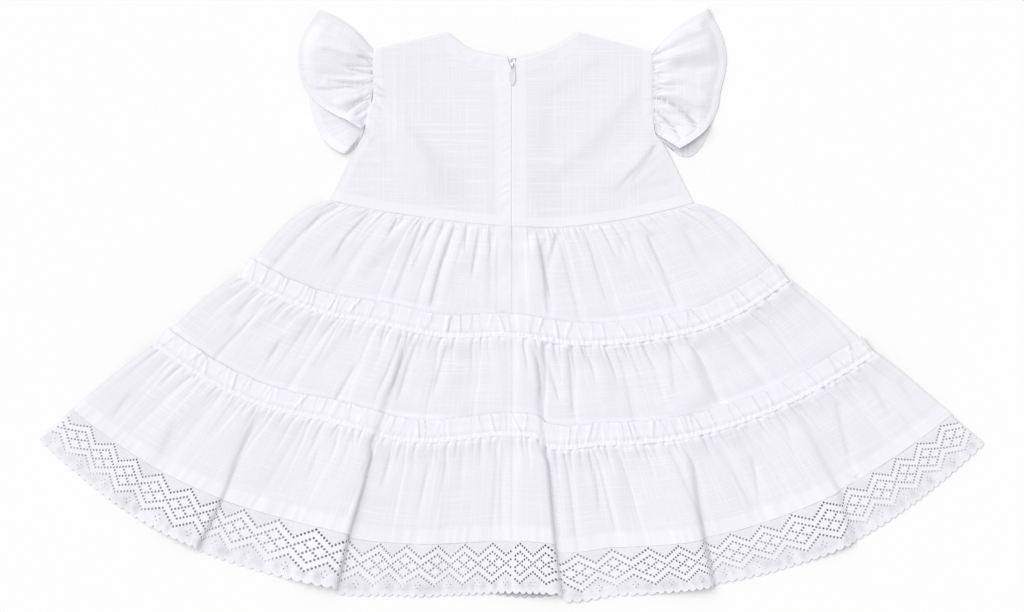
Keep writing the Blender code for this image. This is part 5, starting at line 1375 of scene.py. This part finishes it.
def sleeve(side, name):
    shape = sleeves["left" if side < 0 else "right"]
    fold, last = sleeves["foldRow"], len(shape["seam"]) - 1
    between = sleeves["between"]
    turns = np.linspace(-90, 90, sleeves["turns"])
    index = np.concatenate([np.linspace(0, fold, fold * between, endpoint=False), np.full(len(turns), float(fold)),
                            np.linspace(fold, last, (last - fold) * between + 1)[1:]])
    turn = np.concatenate([np.full(fold * between, -90.0), turns, np.full((last - fold) * between, 90.0)])
    reach = np.linspace(0, 1, sleeves["columnsOut"]) ** 0.9
    opening = smooth(reach, 0, sleeves["opening"])[None, :]
    corners = (0, fold, last)
    seam, hem = cornered(shape["seam"], corners, index), cornered(shape["hem"], corners, index)
    flat = seam[:, None] + (hem - seam)[:, None] * reach[None, :, None]
    flat[..., 0] -= sleeves["tuck"] * side * (1 - reach)
    ahead = np.array(shape["hem"][fold], float) - shape["seam"][fold]
    ahead /= np.linalg.norm(ahead)
    outward = np.array([-ahead[1], ahead[0]]) * (1 if side > 0 else -1)
    away = np.abs(index - fold)[:, None]
    flat += outward * (sleeves["foldSwell"] * np.sin(np.pi * reach)[None, :] * 0.5 ** away)[..., None]
    radius = sleeves["foldTight"] + (sleeves["foldRadius"] - sleeves["foldTight"]) * opening
    angle = np.radians(turn)[:, None]
    onFold = away < 1e-9
    inFront = index[:, None] < fold
    flat += outward * np.where(onFold, radius * (np.cos(angle) - 1), -radius)[..., None] \
        * np.where(onFold, 1, np.exp(-away * 3))[..., None]
    back = np.maximum(index - fold, 0)[:, None]
    low = sleeves["height"]
    flute = np.sin(np.pi * back / sleeves["fluteRows"]) ** 2 * sleeves["flute"] * opening
    settle = smooth(back, 0, sleeves["fluteRows"])
    upper = (low + 2 * radius) * (1 - settle) + (low + layerStep) * settle + flute
    z = np.where(onFold, low + radius + radius * np.sin(angle), np.where(inFront, low, upper))
    base = np.dstack([flat[..., 0], flat[..., 1], z])
    out = np.linalg.norm(flat - flat[:, :1], axis=2)
    whole = out[:, -1:]
    toHem = whole - out
    steps = np.linalg.norm(np.diff(flat[:, 8], axis=0), axis=1)
    around = np.concatenate([[0], np.cumsum(steps)])[:, None] * np.ones_like(out)
    height, pale = gatherRelief(around.T, np.full((out.shape[1], 1), around[-1, 0]), out.T,
                                sleeves["seamGathers"], 71 + side)
    upperHalf = smooth(back, 0.0, 0.6)
    height = height.T * np.where(inFront, 0.0, 1.0)
    pale = pale.T * upperHalf
    height += creaseHeight(flat[..., 0], flat[..., 1], shape["creases"]) * upperHalf
    height += shape["seamRise"] * upperHalf * smooth(out, 0.5, 7)
    band = edgeStep(sleeves["hemBand"] - toHem) * smooth(whole, *sleeves["bandFrom"])
    line, lineWide = sleeves["hemLine"]
    height = height * (1 - sleeves["bandEase"] * band) - line * hump(toHem, sleeves["hemBand"], lineWide) * band
    height += 0.15 * (1 - smooth(out, 0, 1.6))
    hemFlat = sleeves["hemFlat"]
    height *= 1 - hemFlat["ease"] * smooth(hemFlat["run"] - toHem, 0, 12) * upperHalf
    curl = smooth(index, last - shape["curl"][0], last - shape["curl"][1])[:, None]
    height += sleeves["endLift"] * curl * smooth(reach, 0.35, 1.0)[None, :]
    rng = np.random.default_rng(33 + side)
    wave = splineAt(rng.uniform(-1, 1, sleeves["wave"]["parts"]), around / around[-1, 0])
    height += sleeves["wave"]["rise"] * wave * smooth(hemFlat["run"] - toHem, 0, 10) * upperHalf
    pale += band * sleeves["bandPale"]["back"] + shape["pale"] * upperHalf
    # painted shade along the deepest creases
    pale += creaseHeight(flat[..., 0], flat[..., 1], shape["paintedCreaseShade"]) * upperHalf
    # painted shade: dark dashes along the armhole seam
    seamShadeDashes = sleeves["dashes"]
    dashes = smooth(splineAt(rng.uniform(-1, 1, seamShadeDashes["parts"]), around / around[-1, 0]), 0.1, 0.6)
    pale -= seamShadeDashes["dark"] * dashes * hump(out, seamShadeDashes["at"], seamShadeDashes["wide"]) * upperHalf
    lifted = base.copy()
    lifted[..., 2] += np.where(onFold, 0, height)
    sunk = smooth(hemFlat["run"] + 2 - toHem, 0, 12) * upperHalf * (1 - curl)
    lifted[..., 2] -= np.where(onFold, 0, sunk * hemFlat["sink"] * np.maximum(lifted[..., 2] - low - 0.8, 0))
    arch = smooth(index, 0.55, 0.8) * (1 - smooth(index, 0.95, 2.4))
    arch = shape["arch"] * arch[:, None] * smooth(reach, 0.15, 0.7)[None, :]
    rim = (1 - smooth(toHem, 0.2, 2.4)) * upperHalf * (1 - curl) * (side > 0)
    lifted[..., 2] = np.where(inFront, low + arch,
                              np.maximum(lifted[..., 2], low + 0.75) * (1 - rim) + (low + 0.3) * rim)
    pale += np.where(index < fold, -sleeves["shadow"] * (1 - smooth(index, shape["shade"] - 0.3, shape["shade"])),
                     0)[:, None]
    pale += np.where(inFront, band * (index[:, None] > 0.6) * sleeves["bandPale"]["front"], 0)
    pattern = np.stack([around + 900 + 400 * side, out], axis=-1)
    order = slice(None) if side < 0 else slice(None, None, -1)
    grid, pattern, pale, toHem = lifted[order], pattern[order], pale[order], toHem[order]
    piece = makeSheet(name, grid, pattern, pale, cotton, name, sleeves["thick"])
    stitches = sewStitches(name + "_stitches", [lineAcross(grid.transpose(1, 0, 2), toHem.T, sleeves["hemBand"] - 0.9)])
    return piece


for side, end in ((-1, "left"), (1, "right")):
    sleeve(side, f"sleeve_{end}")
print("sleeves ready")


def makeMetal(name, settings):    # plated or painted metal, with faint wear and fine scratches
    made = bpy.data.materials.new(name)
    made.use_nodes = True
    tree = made.node_tree
    shader = tree.nodes["Principled BSDF"]
    place = tree.nodes.new("ShaderNodeTexCoord").outputs["Object"]
    wear = addRange(tree, addNoise(tree, place, (900, 900, 900), 3.0, 0.6, "3D"), 0.35, 0.7)
    light = addMath(tree, "MULTIPLY_ADD", wear, -settings["wear"], 1.0)
    tree.links.new(scaledColour(tree, settings["colour"], light), shader.inputs["Base Color"])
    tree.links.new(addMath(tree, "MULTIPLY_ADD", wear, settings["roughMore"], settings["rough"]),
                   shader.inputs["Roughness"])
    shader.inputs["Metallic"].default_value = settings["metal"]
    scratch = addNoise(tree, place, (6000, 700, 3000), 2.0, 0.5, "3D")
    addBump(tree, shader, scratch, settings)
    return made


nickel = makeMetal("platedNickel", {"colour": (0.80, 0.80, 0.82), "rough": 0.24, "roughMore": 0.18, "metal": 1.0,
                                    "wear": 0.15, "bump": 0.15, "bumpDepth": 0.00003})
enamel = makeMetal("whiteEnamel", {"colour": (0.76, 0.75, 0.79), "rough": 0.30, "roughMore": 0.12, "metal": 0.0,
                                   "wear": 0.04, "bump": 0.10, "bumpDepth": 0.00002})
zipTwill = makeCotton("zipTwill", dict(cottonLook, slub=0.0, grain=0.02, doubled=0.0))


zipParts = {
    "tape": {"half": 15.0, "top": 203.6, "foot": 58.0, "z": 1.8, "ridge": 0.25, "ridgeAt": 3.2, "ridgeWide": 0.8,
             "columns": 41, "rows": 90, "thick": 0.5},
    "coil": {"x": 1.15, "radius": 0.36, "long": 2.0, "pitch": 1.3, "foot": 61.0, "top": 202.5, "z": 2.42,
             "inset": 0.12},
    # "widest" is the share of its length from which the slider narrows towards its foot
    "slider": {"x": 0.9, "foot": 203.9, "top": 213.4, "wide": 5.0, "taper": 0.65, "widest": 0.55, "low": 1.3,
               "thick": 1.0, "bevel": 0.28, "plate": 0.7, "recess": 0.25},
    # the bridge that holds the pull: its post, the arm over the slider and the hook at the arm's tip
    "arch": {"wide": 1.2, "inner": 207.95, "post": 1.5, "tip": 205.25, "arm": 0.8, "low": 2.2, "top": 6.1,
             "hook": 4.3, "bevel": 0.24, "edge": 0.05},
    "pull": {"x": 0.9, "top": 207.5, "long": 18.3, "z": 4.35, "thick": 0.9, "eye": 3.6, "bevel": 0.2,
             # half widths of the teardrop at distances down from its top
             "outline": ((0.5, 1.80), (1.6, 1.80), (3.2, 1.80), (4.6, 1.95), (6.2, 2.20), (7.8, 2.42), (9.4, 2.56),
                         (10.8, 2.60), (12.2, 2.52), (13.6, 2.28), (15.0, 1.86), (16.2, 1.38), (17.2, 0.90),
                         (17.9, 0.55)),
             "foot": 0.36, "narrowTop": 0.35,
             "hole": (0.95, 1.0, 4.4), "cutHigh": 4,    # its half width, and its start and end down from the top
             "dish": 0.55, "dishMargin": 1.2, "dishThin": 0.72},
}


def pickOnly(*blocks):    # selects these, with the first one active
    bpy.ops.object.select_all(action="DESELECT")
    for block in blocks:
        block.select_set(True)
    bpy.context.view_layer.objects.active = blocks[0]


def addBlock(name, centre, size):    # a block at its place and size, open in edit mode with nothing selected
    bpy.ops.object.select_all(action="DESELECT")
    bpy.ops.mesh.primitive_cube_add(size=1, location=mm(*centre))
    block = bpy.context.object
    block.name = name
    block.scale = mm(*size)
    bpy.ops.object.transform_apply(location=True, rotation=False, scale=True)
    bpy.ops.object.mode_set(mode="EDIT")
    bpy.ops.mesh.select_mode(type="FACE")
    bpy.ops.mesh.select_all(action="DESELECT")
    return block


def selectFaces(block, test):    # selects the faces whose centre, in millimetres, and normal pass the test
    build = bmesh.from_edit_mesh(block.data)
    for face in build.faces:
        face.select_set(bool(test(face.calc_center_median() * 1000, face.normal)))
    build.select_flush_mode()
    bmesh.update_edit_mesh(block.data)


def selectRing(block, y):
    build = bmesh.from_edit_mesh(block.data)
    for vert in build.verts:
        vert.select_set(abs(vert.co.y * 1000 - y) < 0.02)
    build.select_flush_mode()
    bmesh.update_edit_mesh(block.data)


def extrude(y, z):    # moves the selected faces out by lengths in millimetres
    bpy.ops.mesh.extrude_region_move(TRANSFORM_OT_translate={"value": (0, y * 0.001, z * 0.001)})


def roundEdges(block, width, segments, smallest=None):    # all of a block's edges, or those above an angle
    bpy.ops.object.mode_set(mode="OBJECT")
    soften = block.modifiers.new("Edges", "BEVEL")
    soften.width = width * 0.001
    soften.segments = segments
    if smallest:
        soften.limit_method = "ANGLE"
        soften.angle_limit = math.radians(smallest)
    bpy.ops.object.modifier_apply(modifier="Edges")


def combine(block, operation, other):    # joins the other block to this one, or cuts it out
    joined = block.modifiers.new("Joined", "BOOLEAN")
    joined.operation = operation
    joined.object = other
    bpy.ops.object.modifier_apply(modifier="Joined")
    bpy.data.objects.remove(other)


def mergeCorners():    # joins the active block's corners that the rounding left at one place
    bpy.ops.object.mode_set(mode="EDIT")
    bpy.ops.mesh.select_all(action="SELECT")
    bpy.ops.mesh.remove_doubles(threshold=0.000001)
    bpy.ops.mesh.dissolve_degenerate(threshold=0.000001)
    bpy.ops.object.mode_set(mode="OBJECT")


def finishHard(block, bevel, segments, look, body, node):
    roundEdges(block, bevel, segments, 28)
    mergeCorners()
    bpy.ops.object.shade_smooth_by_angle(angle=math.radians(35))
    block.data.materials.append(look)
    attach(block, body)
    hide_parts(node)
    return block


def makeSlider():
    part = zipParts["slider"]
    length = part["top"] - part["foot"]
    body = addBlock("sliderBody", (part["x"], part["foot"] + length / 2, part["low"] + part["thick"] / 2),
                    (part["wide"], length, part["thick"]))
    bpy.ops.mesh.select_all(action="SELECT")
    bpy.ops.mesh.bisect(plane_co=mm(0, part["foot"] + length * part["widest"], 0), plane_no=(0, 1, 0))
    bpy.ops.mesh.select_mode(type="VERT")
    selectRing(body, part["foot"])
    bpy.ops.transform.resize(value=(part["taper"], 1, 1), center_override=mm(part["x"], part["foot"], 0))
    bpy.ops.mesh.select_mode(type="FACE")
    selectFaces(body, lambda centre, normal: normal.z > 0.9)
    bpy.ops.mesh.inset(thickness=part["plate"] * 0.001)
    extrude(0, -part["recess"])
    roundEdges(body, part["bevel"], 3)

    arm = zipParts["arch"]
    outer = arm["inner"] + arm["post"]
    postTop = arm["top"] - arm["arm"]
    arch = addBlock("zip_slider_metal", (part["x"], (arm["inner"] + outer) / 2, (arm["low"] + postTop) / 2),
                    (arm["wide"], arm["post"], postTop - arm["low"]))
    selectFaces(arch, lambda centre, normal: normal.z > 0.9)
    extrude(0, arm["arm"])
    selectFaces(arch, lambda centre, normal: normal.y < -0.9 and centre.z > postTop)
    extrude(arm["tip"] + arm["arm"] - arm["inner"], 0)
    selectFaces(arch, lambda centre, normal: normal.y < -0.9 and centre.z > postTop)
    extrude(-arm["arm"], 0)
    selectFaces(arch, lambda centre, normal: normal.z < -0.9 and centre.y < arm["tip"] + arm["arm"])
    extrude(0, arm["hook"] - postTop)
    roundEdges(arch, arm["bevel"], 3)
    combine(arch, "UNION", body)
    return finishHard(arch, arm["edge"], 1, nickel, "dress", "zip_slider")


def makePull():
    part = zipParts["pull"]
    foot = part["top"] - part["long"]
    pull = addBlock("zip_pull_enamel", (part["x"], (part["top"] + foot) / 2, part["z"]),
                    (part["eye"], part["long"], part["thick"]))
    for down, _ in part["outline"]:
        bpy.ops.mesh.select_all(action="SELECT")
        bpy.ops.mesh.bisect(plane_co=mm(0, part["top"] - down, 0), plane_no=(0, 1, 0))
    bpy.ops.mesh.select_mode(type="VERT")
    for down, half in part["outline"] + ((part["long"], part["foot"]), (0, part["eye"] / 2 - part["narrowTop"])):
        selectRing(pull, part["top"] - down)
        bpy.ops.transform.resize(value=(half * 2 / part["eye"], 1, 1),
                                 center_override=mm(part["x"], part["top"] - down, part["z"]))
    bpy.ops.mesh.select_mode(type="FACE")
    half, start, end = part["hole"]
    margin = part["dishMargin"]
    selectFaces(pull, lambda centre, normal: abs(normal.z) > 0.9
                and foot + margin < centre.y < part["top"] - end - margin)
    bpy.ops.mesh.inset(thickness=part["dish"] * 0.001)
    bpy.ops.transform.resize(value=(1, 1, part["dishThin"]), center_override=mm(part["x"], foot, part["z"]))
    bpy.ops.object.mode_set(mode="OBJECT")
    cutter = addBlock("cutter", (part["x"], part["top"] - (start + end) / 2, part["z"]),
                      (half * 2, end - start, part["cutHigh"]))
    bpy.ops.object.mode_set(mode="OBJECT")
    pickOnly(pull)
    combine(pull, "DIFFERENCE", cutter)
    return finishHard(pull, part["bevel"], 3, enamel, "pull", "zip_pull")


def makeCoil():
    part = zipParts["coil"]
    count = int((part["top"] - part["foot"]) / part["pitch"])
    rows = []
    for side in (-1, 1):
        bpy.ops.object.select_all(action="DESELECT")
        start = part["foot"] + (side + 1) * part["pitch"] / 4
        bpy.ops.mesh.primitive_cylinder_add(vertices=8, radius=part["radius"] * 0.001, depth=part["long"] * 0.001,
                                            location=mm(part["x"] * side, start, part["z"]),
                                            rotation=(0, math.pi / 2, 0))
        row = bpy.context.object
        bpy.ops.object.transform_apply(location=True, rotation=True, scale=True)
        bpy.ops.object.mode_set(mode="EDIT")
        bpy.ops.mesh.select_mode(type="FACE")
        selectFaces(row, lambda centre, normal: abs(normal.x) > 0.9)
        bpy.ops.mesh.inset(thickness=part["inset"] * 0.001)
        bpy.ops.object.mode_set(mode="OBJECT")
        repeat = row.modifiers.new("Teeth", "ARRAY")
        repeat.use_relative_offset = False
        repeat.use_constant_offset = True
        repeat.constant_offset_displace = mm(0, part["pitch"], 0)
        repeat.count = count
        bpy.ops.object.modifier_apply(modifier="Teeth")
        rows.append(row)
    pickOnly(*rows)
    bpy.ops.object.join()
    coil = bpy.context.object
    coil.name = "zip_coil"
    bpy.ops.object.shade_smooth_by_angle(angle=math.radians(40))
    coil.data.materials.append(enamel)
    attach(coil, "dress")
    return coil


def makeTape():
    part = zipParts["tape"]
    x, y = np.meshgrid(np.linspace(-part["half"], part["half"], part["columns"]),
                       np.linspace(part["top"], part["foot"], part["rows"]))
    ridge = part["ridge"] * hump(np.abs(x), part["ridgeAt"], part["ridgeWide"])
    base = np.dstack([x, y, part["z"] + ridge])
    piece = makeSheet("zip_tape", base, np.stack([x, y], axis=-1), 0 * x, zipTwill, "zip_tape", part["thick"])
    makeCoil()


makeTape()
makeSlider()
makePull()
print("zip ready")


studio = {"floorSize": 60.0, "lensMm": 150.0, "frameWide": 0.8909, "centre": (0.0004, -0.0023),
          "skyStrength": 0.60, "sunStrength": 1.80, "sunAngle": 62, "sunTurn": (28, 21)}
bpy.ops.object.select_all(action="DESELECT")
bpy.ops.mesh.primitive_plane_add(size=studio["floorSize"], location=(0, 0, 0))
floor = bpy.context.object
floor.name = "floor"
floorLook = bpy.data.materials.new("paperFloor")
floorLook.use_nodes = True
floorShader = floorLook.node_tree.nodes["Principled BSDF"]
floorShader.inputs["Base Color"].default_value = (0.93, 0.93, 0.93, 1)
floorShader.inputs["Roughness"].default_value = 1.0
floorShader.inputs["Specular IOR Level"].default_value = 0.0
floor.data.materials.append(floorLook)

sky = bpy.data.worlds.new("studioSky")
bpy.context.scene.world = sky
sky.use_nodes = True
sky.node_tree.nodes["Background"].inputs["Color"].default_value = (1, 1, 1, 1)
sky.node_tree.nodes["Background"].inputs["Strength"].default_value = studio["skyStrength"]

bpy.ops.object.light_add(type="SUN", location=(-2, 2, 4))
sun = bpy.context.object
sun.name = "softKey"
sun.data.energy = studio["sunStrength"]
sun.data.angle = math.radians(studio["sunAngle"])
towards = Vector((-math.sin(math.radians(studio["sunTurn"][0])), math.sin(math.radians(studio["sunTurn"][1])), 0.8))
sun.rotation_mode = "QUATERNION"
sun.rotation_quaternion = towards.normalized().to_track_quat("Z", "Y")

bpy.ops.object.camera_add()
camera = bpy.context.object
camera.name = "topCamera"
camera.data.lens = studio["lensMm"]
camera.data.sensor_width = 36.0
distance = studio["frameWide"] / 2 / (camera.data.sensor_width / 2 / camera.data.lens)
camera.location = (*studio["centre"], distance)
camera.rotation_euler = (0, 0, 0)
camera.data.clip_end = 200
bpy.context.scene.camera = camera
bpy.context.scene.view_settings.view_transform = "Standard"
bpy.context.scene.view_settings.look = "None"
print("studio ready")
